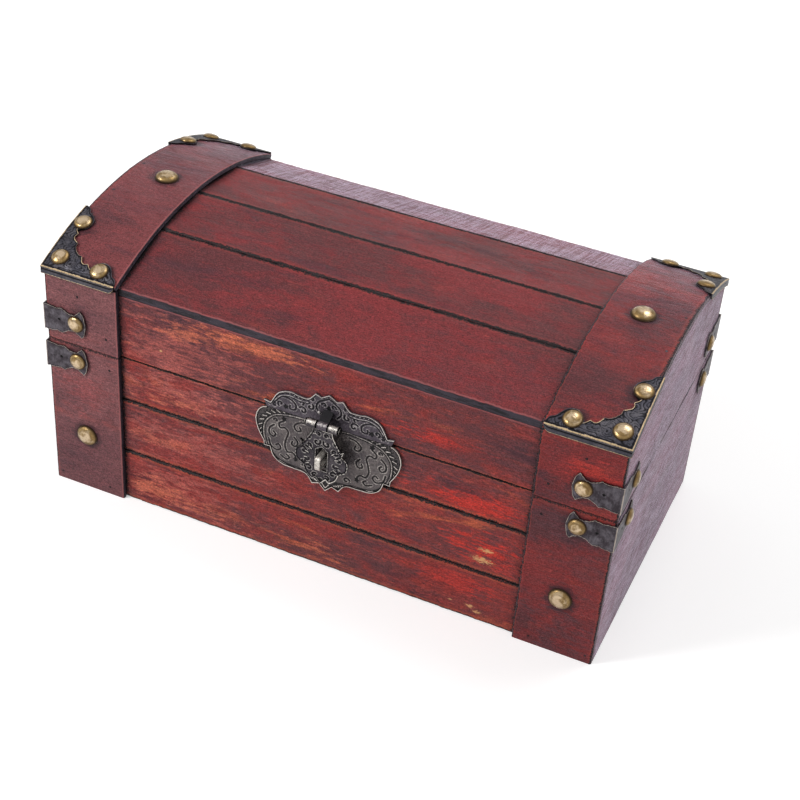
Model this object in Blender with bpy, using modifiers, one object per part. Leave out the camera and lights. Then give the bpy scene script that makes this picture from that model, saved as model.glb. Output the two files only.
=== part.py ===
"""Wooden storage box with an arched lid, wooden end straps, metal corners, a hasp latch and two back hinges.

Each piece is one closed solid in metres, with +Z up. The origin is on the underside, at the middle of the
wooden body. +X runs to the right along the front, and the front faces -Y.
"""

import math

import bmesh
import bpy
from mathutils import Matrix, Vector

MM = 0.001

# The wooden body, measured over its boards. The lid's height is the arch's crown over the seam
BODY_LENGTH = 300 * MM
BODY_DEPTH = 155 * MM
BASE_HEIGHT = 89 * MM
LID_HEIGHT = 58 * MM
BOARD_THICKNESS = 8 * MM
END_THICKNESS = 8 * MM
BOTTOM_THICKNESS = 5 * MM
ROOF_THICKNESS = 5 * MM
GROOVE_CHAMFER = 0.9 * MM
SEAT_GAP = 0.3 * MM
BASE_PLANK_SHARES = (0.35, 0.365, 0.285)
ROOF_PLANK_SHARES = (0.265, 0.235, 0.262, 0.238)

# The thin wooden straps over both ends
STRAP_WIDTH = 40.8 * MM
STRAP_THICKNESS = 2.2 * MM
STRAP_EDGE = 0.45 * MM
ARCH_RISE = 17 * MM
ARCH_STEPS = 18

# Domed tacks
TACK_RADIUS = 5.2 * MM
TACK_HEIGHT = 3.0 * MM
STRAP_TACK_RADIUS = 6.2 * MM
STRAP_TACK_HEIGHT = 3.4 * MM
SHANK_RADIUS = 0.8 * MM
SHANK_LENGTH = 6.2 * MM
SHANK_POINT = 0.9 * MM
TACK_SINK = 0.2 * MM
TACK_STEPS = 10
DOME_STEPS = 3
BASE_TACK_Z = 34.2 * MM
BASE_TACK_INSET = 20 * MM
LID_TACK_INSET = 22 * MM

# Triangular metal plates on the lid's four corners
SHEET_THICKNESS = 0.7 * MM
CORNER_LEG = 41 * MM
CORNER_LIP = 4.2 * MM
CORNER_TACK_NEAR = 7 * MM
CORNER_TACK_FAR = 29.8 * MM
CORNER_TACK_EDGE = 5.7 * MM
# Half of the plate's inner edge, from the end of one leg to the diagonal:
# share of the leg's length along it, share of that length across it, and sharp or not
CORNER_SHARES = (
    (1.00, 0.05, True),
    (0.96, 0.16, False),
    (0.86, 0.20, False),
    (0.80, 0.265, False),
    (0.66, 0.275, False),
    (0.60, 0.18, True),
    (0.52, 0.205, True),
    (0.45, 0.215, False),
    (0.385, 0.27, True),
    (0.31, 0.29, False),
)

# Metal brackets that wrap the upright corners
BRACKET_LEG = 24 * MM
BRACKET_HALF_HEIGHT = 7.8 * MM
BRACKET_TACK = 18.5 * MM
BASE_BRACKET_DROP = 8.8 * MM
LID_BRACKET_RISE = 13.2 * MM
# Half of one leg, from above the fold to its tip:
# share of its length, share of its half height above its middle line, and sharp or not
BRACKET_SHARES = (
    (0.07, 1.35, True),
    (0.24, 0.90, True),
    (0.44, 0.96, False),
    (0.53, 0.74, True),
    (0.66, 0.72, False),
    (0.80, 0.97, True),
    (0.95, 0.55, False),
    (1.00, 0.00, False),
)

# Latch, set a little to the right of the middle
LATCH_X = 5.5 * MM
LATCH_SHEET = 1.0 * MM
LID_PLATE_HALF_WIDTH = 34.2 * MM
LID_PLATE_HEIGHT = 17.6 * MM
BASE_PLATE_HALF_WIDTH = 38.6 * MM
BASE_PLATE_HEIGHT = 39.3 * MM
# Right half of the lid plate from its top point to its lower edge, in shares of half width and height
LID_PLATE_SHARES = (
    (0.00, 1.00, True),
    (0.12, 0.85, True),
    (0.21, 0.92, True),
    (0.32, 0.68, False),
    (0.46, 0.67, False),
    (0.60, 0.71, False),
    (0.78, 0.57, False),
    (0.90, 0.17, True),
    (1.00, 0.21, True),
    (0.96, 0.00, True),
)
# Right half of the base plate from its upper edge down to its bottom point
BASE_PLATE_SHARES = (
    (0.88, 0.00, True),
    (0.97, 0.08, False),
    (1.00, 0.22, False),
    (0.95, 0.37, False),
    (0.845, 0.52, True),
    (0.875, 0.595, True),
    (0.79, 0.59, True),
    (0.74, 0.72, False),
    (0.62, 0.80, False),
    (0.46, 0.815, False),
    (0.28, 0.83, False),
    (0.185, 0.945, True),
    (0.09, 0.91, True),
    (0.00, 1.00, True),
)
BARREL_RISE = 3.5 * MM
BARREL_STAND_OFF = 5.7 * MM
BARREL_RADIUS = 2.2 * MM
BARREL_HALF_LENGTH = 8.4 * MM
MIDDLE_KNUCKLE_HALF = 2.8 * MM
LATCH_PIN_RADIUS = 1.1 * MM
PIN_HEAD_RISE = 0.6 * MM
PIN_HEAD_LENGTH = 0.8 * MM
TAB_RISE = 5.6 * MM
TAB_THICKNESS = 1.3 * MM
HASP_SHEET = 1.2 * MM
HASP_HALF_WIDTH = 13.6 * MM
HASP_DROP = 34.2 * MM
HASP_BACK_SET = 0.3 * MM
SLOT_HALF_WIDTH = 3.1 * MM
SLOT_TOP = 12.2 * MM
SLOT_BOTTOM = 26.2 * MM
SLOT_POINT = 2.2 * MM
# Right half of the hasp from under its knuckle to its bottom point
HASP_SHARES = (
    (0.40, 0.13, False),
    (0.56, 0.25, False),
    (0.73, 0.37, True),
    (0.86, 0.33, True),
    (0.77, 0.43, True),
    (1.00, 0.52, False),
    (0.97, 0.67, False),
    (0.70, 0.75, True),
    (0.58, 0.87, False),
    (0.36, 0.955, True),
    (0.19, 0.91, True),
    (0.00, 1.00, True),
)
EYE_THICKNESS = 2.8 * MM
EYE_HALF_HEIGHT = 4 * MM
EYE_REACH = 10.7 * MM
EYE_BAND = 1.7 * MM
EYE_CORNER = 2.3 * MM
EYE_FOOT = 1.2 * MM
EYE_DROP = 16.4 * MM
TENON_HALF_HEIGHT = 2 * MM
TENON_LENGTH = 3 * MM

# Back hinges
HINGE_TO_STRAP = 11.2 * MM
HINGE_LEAF_WIDTH = 26 * MM
HINGE_LEAF_HEIGHT = 14.5 * MM
HINGE_SHEET = 1.0 * MM
HINGE_RADIUS = 2.6 * MM
HINGE_PIN_RADIUS = 1.2 * MM
HINGE_MIDDLE_HALF = 4.2 * MM
TONGUE_INSET = 0.3 * MM

OVERRUN = 2 * MM
ROUND_STEPS = 14
HOLE_STEPS = 8
CURVE_STEPS = 3
WELD = 0.001 * MM
BEVEL_ANGLE = math.radians(40)

# Planes and heights that the pieces share
HALF_LENGTH = BODY_LENGTH / 2
BOARD_FACE = BODY_DEPTH / 2
BOARD_BACK = BOARD_FACE - BOARD_THICKNESS
END_FACE = HALF_LENGTH - END_THICKNESS
PLANK_END = END_FACE - SEAT_GAP
STRAP_BACK = BOARD_FACE + SEAT_GAP
STRAP_FACE = STRAP_BACK + STRAP_THICKNESS
STRAP_INNER_X = HALF_LENGTH - STRAP_WIDTH
LID_BOTTOM = BASE_HEIGHT + SEAT_GAP
LID_CROWN = LID_BOTTOM + LID_HEIGHT
SEAM_Z = BASE_HEIGHT + SEAT_GAP / 2
ARCH_RADIUS = (STRAP_FACE**2 + ARCH_RISE**2) / (2 * ARCH_RISE)
ARCH_CENTRE_Z = LID_CROWN - ARCH_RADIUS
STRAP_INNER_RADIUS = ARCH_RADIUS - STRAP_THICKNESS
ROOF_RADIUS = STRAP_INNER_RADIUS - SEAT_GAP
METAL_FRONT = STRAP_FACE + SEAT_GAP + SHEET_THICKNESS
METAL_SIDE = HALF_LENGTH + SEAT_GAP + SHEET_THICKNESS
CORNER_INNER_RADIUS = ARCH_RADIUS + SEAT_GAP
CORNER_OUTER_RADIUS = CORNER_INNER_RADIUS + SHEET_THICKNESS
BASE_BRACKET_Z = BASE_HEIGHT - BASE_BRACKET_DROP
LID_BRACKET_Z = LID_BOTTOM + LID_BRACKET_RISE
PLATE_BACK = BOARD_FACE + SEAT_GAP
PLATE_FACE = PLATE_BACK + LATCH_SHEET
BARREL_Y = -(PLATE_FACE + BARREL_STAND_OFF)
BARREL_Z = LID_BOTTOM + BARREL_RISE
HINGE_X = STRAP_INNER_X - HINGE_TO_STRAP - HINGE_LEAF_WIDTH / 2
HINGE_Y = BOARD_FACE + SEAT_GAP + HINGE_RADIUS

# Where a flat outline's own X, Y and thickness point
ALONG_X = Matrix(((0, 0, 1), (1, 0, 0), (0, 1, 0))).to_4x4()
FACING_FRONT = Matrix(((1, 0, 0), (0, 0, -1), (0, 1, 0))).to_4x4()
FACING_UP = Matrix.Identity(4)

SIDES = (("left", -1), ("right", 1))
ENDS = (("front", -1), ("back", 1))


def clear_scene():
    """Removes what the file starts with."""
    for obj in list(bpy.data.objects):
        bpy.data.objects.remove(obj)


def collection(name):
    made = bpy.data.collections.new(name)
    bpy.context.scene.collection.children.link(made)
    return made


def material(name, colour, roughness, metallic):
    made = bpy.data.materials.new(name)
    made.use_nodes = True
    shader = made.node_tree.nodes["Principled BSDF"]
    shader.inputs["Base Color"].default_value = (*colour, 1)
    shader.inputs["Roughness"].default_value = roughness
    shader.inputs["Metallic"].default_value = metallic
    return made


clear_scene()
BOX = collection("wooden_storage_box")
CUTTERS = collection("cutters")
STAINED_WOOD = material("stained_wood", (0.20, 0.028, 0.020), 0.45, 0)
PLAIN_WOOD = material("plain_wood", (0.42, 0.27, 0.14), 0.7, 0)
AGED_METAL = material("aged_metal", (0.085, 0.075, 0.07), 0.42, 0.9)
ANTIQUE_BRASS = material("antique_brass", (0.42, 0.31, 0.15), 0.33, 1)


def add_object(name, mesh, finish=None):
    """A piece where it has a finish, and a hidden helper where it has none."""
    obj = bpy.data.objects.new(name, mesh)
    if finish:
        obj.data.materials.append(finish)
        BOX.objects.link(obj)
    else:
        obj.hide_render = True
        obj.display_type = "WIRE"
        CUTTERS.objects.link(obj)
    return obj


def mesh_of(bm, name):
    mesh = bpy.data.meshes.new(name)
    bm.to_mesh(mesh)
    bm.free()
    return mesh


def evaluated_mesh(obj):
    """The object's mesh with its modifiers, in world coordinates."""
    bpy.context.view_layer.update()
    graph = bpy.context.evaluated_depsgraph_get()
    mesh = bpy.data.meshes.new_from_object(obj.evaluated_get(graph))
    mesh.transform(obj.matrix_world)
    return mesh


def combine(obj, other, operation):
    boolean = obj.modifiers.new(operation.lower(), "BOOLEAN")
    boolean.operation = operation
    boolean.object = other


def bevel(obj, width):
    made = obj.modifiers.new("edges", "BEVEL")
    made.width = width
    made.segments = 1
    made.limit_method = "ANGLE"
    made.angle_limit = BEVEL_ANGLE


def smooth(obj):
    obj.data.shade_smooth()
    obj.data.set_sharp_from_angle(angle=BEVEL_ANGLE)


def block(name, low, high, finish=None):
    """A rectangular block between two corners, with its origin at its middle."""
    low, high = Vector(low), Vector(high)
    bm = bmesh.new()
    bmesh.ops.create_cube(bm, size=1)
    bmesh.ops.scale(bm, verts=bm.verts, vec=high - low)
    obj = add_object(name, mesh_of(bm, name), finish)
    obj.location = (low + high) / 2
    return obj


def rod(name, radius, low, high, finish=None):
    """A round rod along X, from one end's centre to the other's."""
    low, high = Vector(low), Vector(high)
    bm = bmesh.new()
    bmesh.ops.create_cone(
        bm,
        cap_ends=True,
        segments=ROUND_STEPS,
        radius1=radius,
        radius2=radius,
        depth=(high - low).length,
    )
    facet_down = Matrix.Rotation(math.pi / ROUND_STEPS, 3, "Z")
    bmesh.ops.rotate(bm, verts=bm.verts, matrix=Matrix.Rotation(math.pi / 2, 3, "Y") @ facet_down)
    obj = add_object(name, mesh_of(bm, name), finish)
    obj.location = (low + high) / 2
    return obj


def outline_solid(name, points, thickness, plane, centre, finish=None):
    """A flat outline with thickness, from a filled 2D curve made a mesh.

    A point is (a, b) or (a, b, sharp), and a point that isn't sharp lies on a smooth stretch.
    """
    curve = bpy.data.curves.new("outline", "CURVE")
    curve.dimensions = "2D"
    curve.fill_mode = "BOTH"
    curve.extrude = thickness / 2
    curve.resolution_u = CURVE_STEPS
    spline = curve.splines.new("BEZIER")
    spline.use_cyclic_u = True
    spline.bezier_points.add(len(points) - 1)
    for point, (a, b, *sharp) in zip(spline.bezier_points, points):
        kind = "AUTO" if sharp and not sharp[0] else "VECTOR"
        point.co = (a, b, 0)
        point.handle_left_type = kind
        point.handle_right_type = kind
    outline = bpy.data.objects.new("outline", curve)
    CUTTERS.objects.link(outline)
    outline.matrix_world = Matrix.Translation(centre) @ plane
    bpy.context.view_layer.update()
    graph = bpy.context.evaluated_depsgraph_get()
    mesh = bpy.data.meshes.new_from_object(outline.evaluated_get(graph))
    bm = bmesh.new()
    bm.from_mesh(mesh)
    bmesh.ops.remove_doubles(bm, verts=bm.verts, dist=WELD)
    bmesh.ops.dissolve_degenerate(bm, edges=bm.edges, dist=WELD)
    bmesh.ops.recalc_face_normals(bm, faces=bm.faces)
    bm.to_mesh(mesh)
    bm.free()
    made = add_object(name, mesh, finish)
    made.matrix_world = outline.matrix_world
    bpy.data.objects.remove(outline)
    smooth(made)
    return made


def profile_along_x(name, points, low_x, high_x, finish=None):
    """An outline in Y and Z carried from low_x to high_x."""
    centre = Vector(((low_x + high_x) / 2, 0, 0))
    return outline_solid(name, points, high_x - low_x, ALONG_X, centre, finish)


def mirrored(source, name, finish, across_x=False, across_y=False):
    """A copy of a finished piece, turned over the middle planes."""
    mesh = evaluated_mesh(source)
    mesh.transform(Matrix.Diagonal((-1 if across_x else 1, -1 if across_y else 1, 1, 1)))
    if across_x != across_y:
        mesh.flip_normals()
    mesh.materials.clear()
    return add_object(name, mesh, finish)


def four_corners(source, pattern, finish):
    """Copies of a front right piece for the other three corners."""
    for end, along_y in ENDS:
        for side, along_x in SIDES:
            if (end, side) != ("front", "right"):
                name = pattern.format(end=end, side=side)
                mirrored(source, name, finish, across_x=along_x < 0, across_y=along_y > 0)


# Arch and roof


def arch_z(radius, y):
    """Height of a circle of this radius round the arch's centre line."""
    return ARCH_CENTRE_Z + math.sqrt(radius**2 - y**2)


def arc(radius, start_y, end_y, steps):
    """Points on the arch from one depth to another, evenly spaced in angle."""
    start = math.asin(start_y / radius)
    end = math.asin(end_y / radius)
    angles = [start + (end - start) * i / steps for i in range(steps + 1)]
    return [(radius * math.sin(a), ARCH_CENTRE_Z + radius * math.cos(a)) for a in angles]


def ring(inner, outer, start_y, end_y, steps):
    """A band between two radii, as an outline in Y and Z."""
    return arc(outer, start_y, end_y, steps) + arc(inner, end_y, start_y, steps)


def roof_corners():
    """The roof's outer corners, where its flat planks meet, from front to back."""
    share = 0
    corners = []
    for width in (0, *ROOF_PLANK_SHARES):
        share += width
        y = BODY_DEPTH * (share - 0.5)
        corners.append(Vector((y, arch_z(ROOF_RADIUS, y))))
    return corners


def roof_underside(corners):
    """The roof's inner corners: radial at the joints, and plumb at the front and back edges."""
    centre = Vector((0, ARCH_CENTRE_Z))
    inner = []
    for before, corner, after in zip(corners, corners[1:], corners[2:]):
        bend = (corner - before).angle(after - corner)
        radial = (corner - centre).normalized()
        inner.append(corner - radial * ROOF_THICKNESS / math.cos(bend / 2))
    plumb = []
    for edge, neighbour in ((corners[0], corners[1]), (corners[-1], corners[-2])):
        run = neighbour - edge
        drop = ROOF_THICKNESS * run.length / abs(run.x)
        plumb.append(edge - Vector((0, drop)))
    return [plumb[0], *inner, plumb[1]]


ROOF_CORNERS = roof_corners()
ROOF_UNDERSIDE = roof_underside(ROOF_CORNERS)


def under_roof(y):
    """Height of the roof's underside at this depth."""
    for near, far in zip(ROOF_UNDERSIDE, ROOF_UNDERSIDE[1:]):
        if y <= far.x:
            break
    return near.y + (far.y - near.y) * (y - near.x) / (far.x - near.x)


# Tacks


def tack_frame(point, outward):
    """Places a tack's base at the point, with its dome facing outward."""
    return Matrix.Translation(point) @ Vector(outward).to_track_quat("Z", "Y").to_matrix().to_4x4()


def roof_tack(x, y, radius):
    outward = Vector((0, y, math.sqrt(radius**2 - y**2))).normalized()
    return tack_frame((x, y, arch_z(radius, y)), outward)


def corner_tacks(along_x, along_y):
    near_x = METAL_SIDE - CORNER_TACK_NEAR
    near_y = METAL_FRONT - CORNER_TACK_NEAR
    edge_x = METAL_SIDE - CORNER_TACK_EDGE
    edge_y = METAL_FRONT - CORNER_TACK_EDGE
    places = (
        (near_x, near_y),
        (METAL_SIDE - CORNER_TACK_FAR, edge_y),
        (edge_x, METAL_FRONT - CORNER_TACK_FAR),
    )
    return [roof_tack(along_x * x, along_y * y, CORNER_OUTER_RADIUS) for x, y in places]


def bracket_tacks(along_x, along_y, z):
    on_front = (along_x * (METAL_SIDE - BRACKET_TACK), along_y * METAL_FRONT, z)
    on_side = (along_x * METAL_SIDE, along_y * (METAL_FRONT - BRACKET_TACK), z)
    return [tack_frame(on_front, (0, along_y, 0)), tack_frame(on_side, (along_x, 0, 0))]


def base_strap_tack(along_x, along_y):
    x = HALF_LENGTH - BASE_TACK_INSET
    point = (along_x * x, along_y * (STRAP_FACE + SEAT_GAP), BASE_TACK_Z)
    return tack_frame(point, (0, along_y, 0))


def lid_strap_tack(along_x):
    return roof_tack(along_x * (HALF_LENGTH - LID_TACK_INSET), 0, ARCH_RADIUS + SEAT_GAP)


def tack_object(name, radius, height, sink, finish=None):
    """A tack turned from its profile: dome, flat underside, shank and point."""
    ball = (radius**2 + height**2) / (2 * height)
    rim = math.asin(radius / ball)
    angles = [rim * i / DOME_STEPS for i in range(DOME_STEPS + 1)]
    profile = [(ball * math.sin(a), height - ball * (1 - math.cos(a))) for a in angles]
    profile += [(radius, -sink)] if sink else []
    profile += [(SHANK_RADIUS, -sink), (SHANK_RADIUS, -SHANK_LENGTH), (0, -SHANK_LENGTH - SHANK_POINT)]
    bm = bmesh.new()
    verts = [bm.verts.new((x, 0, z)) for x, z in profile]
    for first, second in zip(verts, verts[1:]):
        bm.edges.new((first, second))
    obj = add_object(name, mesh_of(bm, name), finish)
    turn = obj.modifiers.new("turn", "SCREW")
    turn.steps = TACK_STEPS
    turn.render_steps = TACK_STEPS
    turn.use_merge_vertices = True
    turn.merge_threshold = WELD
    return obj


def cluster(name, source_mesh, frames):
    """Copies of one mesh at several frames, as one helper."""
    bm = bmesh.new()
    for frame in frames:
        copy = source_mesh.copy()
        copy.transform(frame)
        bm.from_mesh(copy)
    return add_object(name, mesh_of(bm, name))


def all_tack_frames():
    frames = [lid_strap_tack(along_x) for _, along_x in SIDES]
    for _, along_x in SIDES:
        for _, along_y in ENDS:
            frames += corner_tacks(along_x, along_y)
            frames += bracket_tacks(along_x, along_y, BASE_BRACKET_Z)
            frames += bracket_tacks(along_x, along_y, LID_BRACKET_Z)
            frames.append(base_strap_tack(along_x, along_y))
    return frames


def shank_holes():
    """One cutter with a clearance hole round every tack's shank."""
    depth = SHANK_LENGTH + SHANK_POINT + SEAT_GAP
    bm = bmesh.new()
    bmesh.ops.create_cone(
        bm,
        cap_ends=True,
        segments=HOLE_STEPS,
        radius1=SHANK_RADIUS + SEAT_GAP,
        radius2=SHANK_RADIUS + SEAT_GAP,
        depth=depth + OVERRUN,
    )
    bmesh.ops.translate(bm, verts=bm.verts, vec=(0, 0, (OVERRUN - depth) / 2))
    return cluster("shank_holes", mesh_of(bm, "shank_hole"), all_tack_frames())


SHANK_HOLES = shank_holes()
PRESSED_TACK = evaluated_mesh(tack_object("pressed_tack", TACK_RADIUS, TACK_HEIGHT, TACK_SINK))


def drill(obj):
    combine(obj, SHANK_HOLES, "DIFFERENCE")


# Wooden pieces


def chamfered_board(face, back, low, high):
    """A board's section in Y and Z, with both edges of its outer face chamfered."""
    step = math.copysign(GROOVE_CHAMFER, back - face)
    return [
        (face, low + GROOVE_CHAMFER),
        (face + step, low),
        (back, low),
        (back, high),
        (face + step, high),
        (face, high - GROOVE_CHAMFER),
    ]


def base_planks(cut_for_eye):
    low = 0
    for level, share in zip(("lower", "middle", "upper"), BASE_PLANK_SHARES):
        high = low + share * BASE_HEIGHT
        top = high if level == "upper" else high - SEAT_GAP
        for end, along_y in ENDS:
            section = chamfered_board(along_y * BOARD_FACE, along_y * BOARD_BACK, low, top)
            name = f"base_{end}_plank_{level}"
            plank = profile_along_x(name, section, -PLANK_END, PLANK_END, STAINED_WOOD)
            drill(plank)
            if (end, level) == ("front", "upper"):
                combine(plank, cut_for_eye, "DIFFERENCE")
        low = high


def base_panels():
    """Two end panels over the planks' ends, and the bottom between all four walls."""
    for side, along_x in SIDES:
        low_x, high_x = sorted((along_x * END_FACE, along_x * HALF_LENGTH))
        panel = block(
            f"base_end_{side}",
            (low_x, -BOARD_FACE, 0),
            (high_x, BOARD_FACE, BASE_HEIGHT),
            STAINED_WOOD,
        )
        bevel(panel, STRAP_EDGE)
        drill(panel)
    half_depth = BOARD_BACK - SEAT_GAP
    block(
        "base_bottom",
        (-PLANK_END, -half_depth, 0),
        (PLANK_END, half_depth, BOTTOM_THICKNESS),
        PLAIN_WOOD,
    )


def upright_strap(pattern, low, high):
    """A flat strap on the front right, and its copies at the other three corners."""
    name = pattern.format(end="front", side="right")
    strap = block(
        name,
        (STRAP_INNER_X, -STRAP_FACE, low),
        (HALF_LENGTH, -STRAP_BACK, high),
        STAINED_WOOD,
    )
    bevel(strap, STRAP_EDGE)
    drill(strap)
    four_corners(strap, pattern, STAINED_WOOD)


def roof_section(index):
    """One roof plank's section: its outer edges chamfered, its joints open by the seat gap."""
    near, far = ROOF_CORNERS[index], ROOF_CORNERS[index + 1]
    near_in, far_in = ROOF_UNDERSIDE[index], ROOF_UNDERSIDE[index + 1]
    along = (far - near).normalized()
    half_gap = along * SEAT_GAP / 2
    if index > 0:
        near, near_in = near + half_gap, near_in + half_gap
    if index < len(ROOF_PLANK_SHARES) - 1:
        far, far_in = far - half_gap, far_in - half_gap
    down_near = (near_in - near).normalized() * GROOVE_CHAMFER
    down_far = (far_in - far).normalized() * GROOVE_CHAMFER
    points = (
        near + along * GROOVE_CHAMFER,
        near + down_near,
        near_in,
        far_in,
        far + down_far,
        far - along * GROOVE_CHAMFER,
    )
    return [tuple(p) for p in points]


def lid_planks():
    for index, place in enumerate(("front", "front_crown", "back_crown", "back")):
        name = f"lid_plank_{place}"
        plank = profile_along_x(name, roof_section(index), -PLANK_END, PLANK_END, STAINED_WOOD)
        drill(plank)


def lid_rails():
    for end, along_y in ENDS:
        face, back = along_y * BOARD_FACE, along_y * BOARD_BACK
        step = -along_y * GROOVE_CHAMFER
        section = [
            (face, LID_BOTTOM + GROOVE_CHAMFER),
            (face + step, LID_BOTTOM),
            (back, LID_BOTTOM),
            (back, under_roof(back) - SEAT_GAP),
            (face, under_roof(face) - SEAT_GAP),
        ]
        rail = profile_along_x(f"lid_{end}_rail", section, -PLANK_END, PLANK_END, STAINED_WOOD)
        drill(rail)


def lid_ends():
    """Arched end panels: the planks butt against them, and the top straps lie on their edges."""
    section = arc(ROOF_RADIUS, -BOARD_FACE, BOARD_FACE, ARCH_STEPS)
    section += [(BOARD_FACE, LID_BOTTOM), (-BOARD_FACE, LID_BOTTOM)]
    for side, along_x in SIDES:
        low_x, high_x = sorted((along_x * END_FACE, along_x * HALF_LENGTH))
        panel = profile_along_x(f"lid_end_{side}", section, low_x, high_x, STAINED_WOOD)
        drill(panel)


def lid_top_straps():
    band = ring(STRAP_INNER_RADIUS, ARCH_RADIUS, -STRAP_FACE, STRAP_FACE, ARCH_STEPS)
    strap = profile_along_x("lid_strap_top_right", band, STRAP_INNER_X, HALF_LENGTH, STAINED_WOOD)
    drill(strap)
    mirrored(strap, "lid_strap_top_left", STAINED_WOOD, across_x=True)


# Metal corners, brackets and tacks


def corner_outline():
    """The corner plate seen from above, in X and Y, for the front right corner."""
    leg = [(CORNER_LEG * a, CORNER_LEG * b, sharp) for a, b, sharp in CORNER_SHARES]
    inner_edge = leg + [(b, a, sharp) for a, b, sharp in reversed(leg)]
    beyond = [(-OVERRUN, CORNER_LEG, True), (-OVERRUN, -OVERRUN, True), (CORNER_LEG, -OVERRUN, True)]
    return [(METAL_SIDE - u, v - METAL_FRONT, sharp) for u, v, sharp in inner_edge + beyond]


def lip_end(name, plane, centre, end, inward, top, bottom):
    """Rounds off the lower corner where a lip ends, in the plane's own two directions."""
    outside = end - inward * OVERRUN
    below = bottom - OVERRUN
    points = [
        (outside, top, True),
        (end, top, True),
        (end + inward * CORNER_LIP / 3, (top + 2 * bottom) / 3, False),
        (end + inward * CORNER_LIP, below, True),
        (outside, below, True),
    ]
    return outline_solid(name, points, 2 * OVERRUN, plane, centre)


def corner_plates():
    """A folded plate over the strap's corner: an arched top, a front lip and a side lip, with its tacks."""
    end_x = METAL_SIDE - CORNER_LEG
    end_y = CORNER_LEG - METAL_FRONT
    past_x, past_y = end_x - OVERRUN, end_y + OVERRUN
    half = ARCH_STEPS // 2
    lip_radius = CORNER_OUTER_RADIUS - CORNER_LIP
    cap = ring(lip_radius, CORNER_OUTER_RADIUS, -METAL_FRONT, past_y, half)
    plate = profile_along_x("lid_corner_front_right", cap, past_x, METAL_SIDE, AGED_METAL)
    inner_front = -(STRAP_FACE + SEAT_GAP)
    core = arc(CORNER_INNER_RADIUS, inner_front, past_y + OVERRUN, half)
    core += [(past_y + OVERRUN, LID_BOTTOM), (inner_front, LID_BOTTOM)]
    inside = profile_along_x("corner_core", core, past_x - OVERRUN, HALF_LENGTH + SEAT_GAP)
    combine(plate, inside, "DIFFERENCE")
    plan_centre = (0, 0, LID_CROWN)
    plan = outline_solid("corner_plan", corner_outline(), 2 * LID_CROWN, FACING_UP, plan_centre)
    combine(plate, plan, "INTERSECT")
    fold = 2 * SHEET_THICKNESS
    top, bottom = (arch_z(r, METAL_FRONT) for r in (CORNER_OUTER_RADIUS - fold, lip_radius))
    front_end = lip_end("front_lip_end", FACING_FRONT, (0, -METAL_FRONT, 0), end_x, 1, top, bottom)
    combine(plate, front_end, "DIFFERENCE")
    top, bottom = (arch_z(r, end_y) for r in (CORNER_OUTER_RADIUS - fold, lip_radius))
    side_end = lip_end("side_lip_end", ALONG_X, (METAL_SIDE, 0, 0), end_y, -1, top, bottom)
    combine(plate, side_end, "DIFFERENCE")
    combine(plate, cluster("corner_tacks", PRESSED_TACK, corner_tacks(1, -1)), "UNION")
    four_corners(plate, "lid_corner_{end}_{side}", AGED_METAL)


def bracket_leg(z):
    """One leg's outline: distance from the fold, and height.

    It runs past the fold, where the sheet's edges are straight.
    """
    upper = [
        (BRACKET_LEG * a, z + BRACKET_HALF_HEIGHT * b, sharp) for a, b, sharp in BRACKET_SHARES
    ]
    lower = [(a, 2 * z - b, sharp) for a, b, sharp in reversed(upper[:-1])]
    beyond = [(-OVERRUN, lower[-1][1], True), (-OVERRUN, upper[0][1], True)]
    return upper + lower + beyond


def brackets(pattern, z):
    """A bracket folded round an upright corner, with a tack in each leg, and its three copies."""
    back_x, back_y = HALF_LENGTH + SEAT_GAP, -(STRAP_FACE + SEAT_GAP)
    end_x, end_y = METAL_SIDE - BRACKET_LEG, BRACKET_LEG - METAL_FRONT
    angle = [
        (end_x, -METAL_FRONT),
        (METAL_SIDE, -METAL_FRONT),
        (METAL_SIDE, end_y),
        (back_x, end_y),
        (back_x, back_y),
        (end_x, back_y),
    ]
    name = pattern.format(end="front", side="right")
    plate = outline_solid(name, angle, 2 * BRACKET_HALF_HEIGHT, FACING_UP, (0, 0, z), AGED_METAL)
    leg = bracket_leg(z)
    front = [(METAL_SIDE - a, b, sharp) for a, b, sharp in leg]
    side = [(a - METAL_FRONT, b, sharp) for a, b, sharp in leg]
    middle = (0, 0, 0)
    depth, width = 2 * (METAL_FRONT + OVERRUN), 2 * (METAL_SIDE + OVERRUN)
    combine(plate, outline_solid(name + "_front", front, depth, FACING_FRONT, middle), "INTERSECT")
    combine(plate, outline_solid(name + "_side", side, width, ALONG_X, middle), "INTERSECT")
    tacks = cluster(name + "_tacks", PRESSED_TACK, bracket_tacks(1, -1, z))
    combine(plate, tacks, "UNION")
    four_corners(plate, pattern, AGED_METAL)


def strap_tacks():
    for side, along_x in SIDES:
        crown = tack_object(f"lid_tack_{side}", STRAP_TACK_RADIUS, STRAP_TACK_HEIGHT, 0, ANTIQUE_BRASS)
        crown.matrix_world = lid_strap_tack(along_x)
        for end, along_y in ENDS:
            name = f"base_tack_{end}_{side}"
            tack = tack_object(name, STRAP_TACK_RADIUS, STRAP_TACK_HEIGHT, 0, ANTIQUE_BRASS)
            tack.matrix_world = base_strap_tack(along_x, along_y)


# Latch


def both_halves(shares, half_width, height, base_z, top_down):
    """A symmetric outline round the latch's middle line from its right half."""
    sign = -1 if top_down else 1
    right = [(half_width * a, base_z + sign * height * b, sharp) for a, b, sharp in shares]
    left = [(-a, b, sharp) for a, b, sharp in reversed(right) if a > 0]
    return [(LATCH_X + a, b, sharp) for a, b, sharp in right + left]


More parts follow.
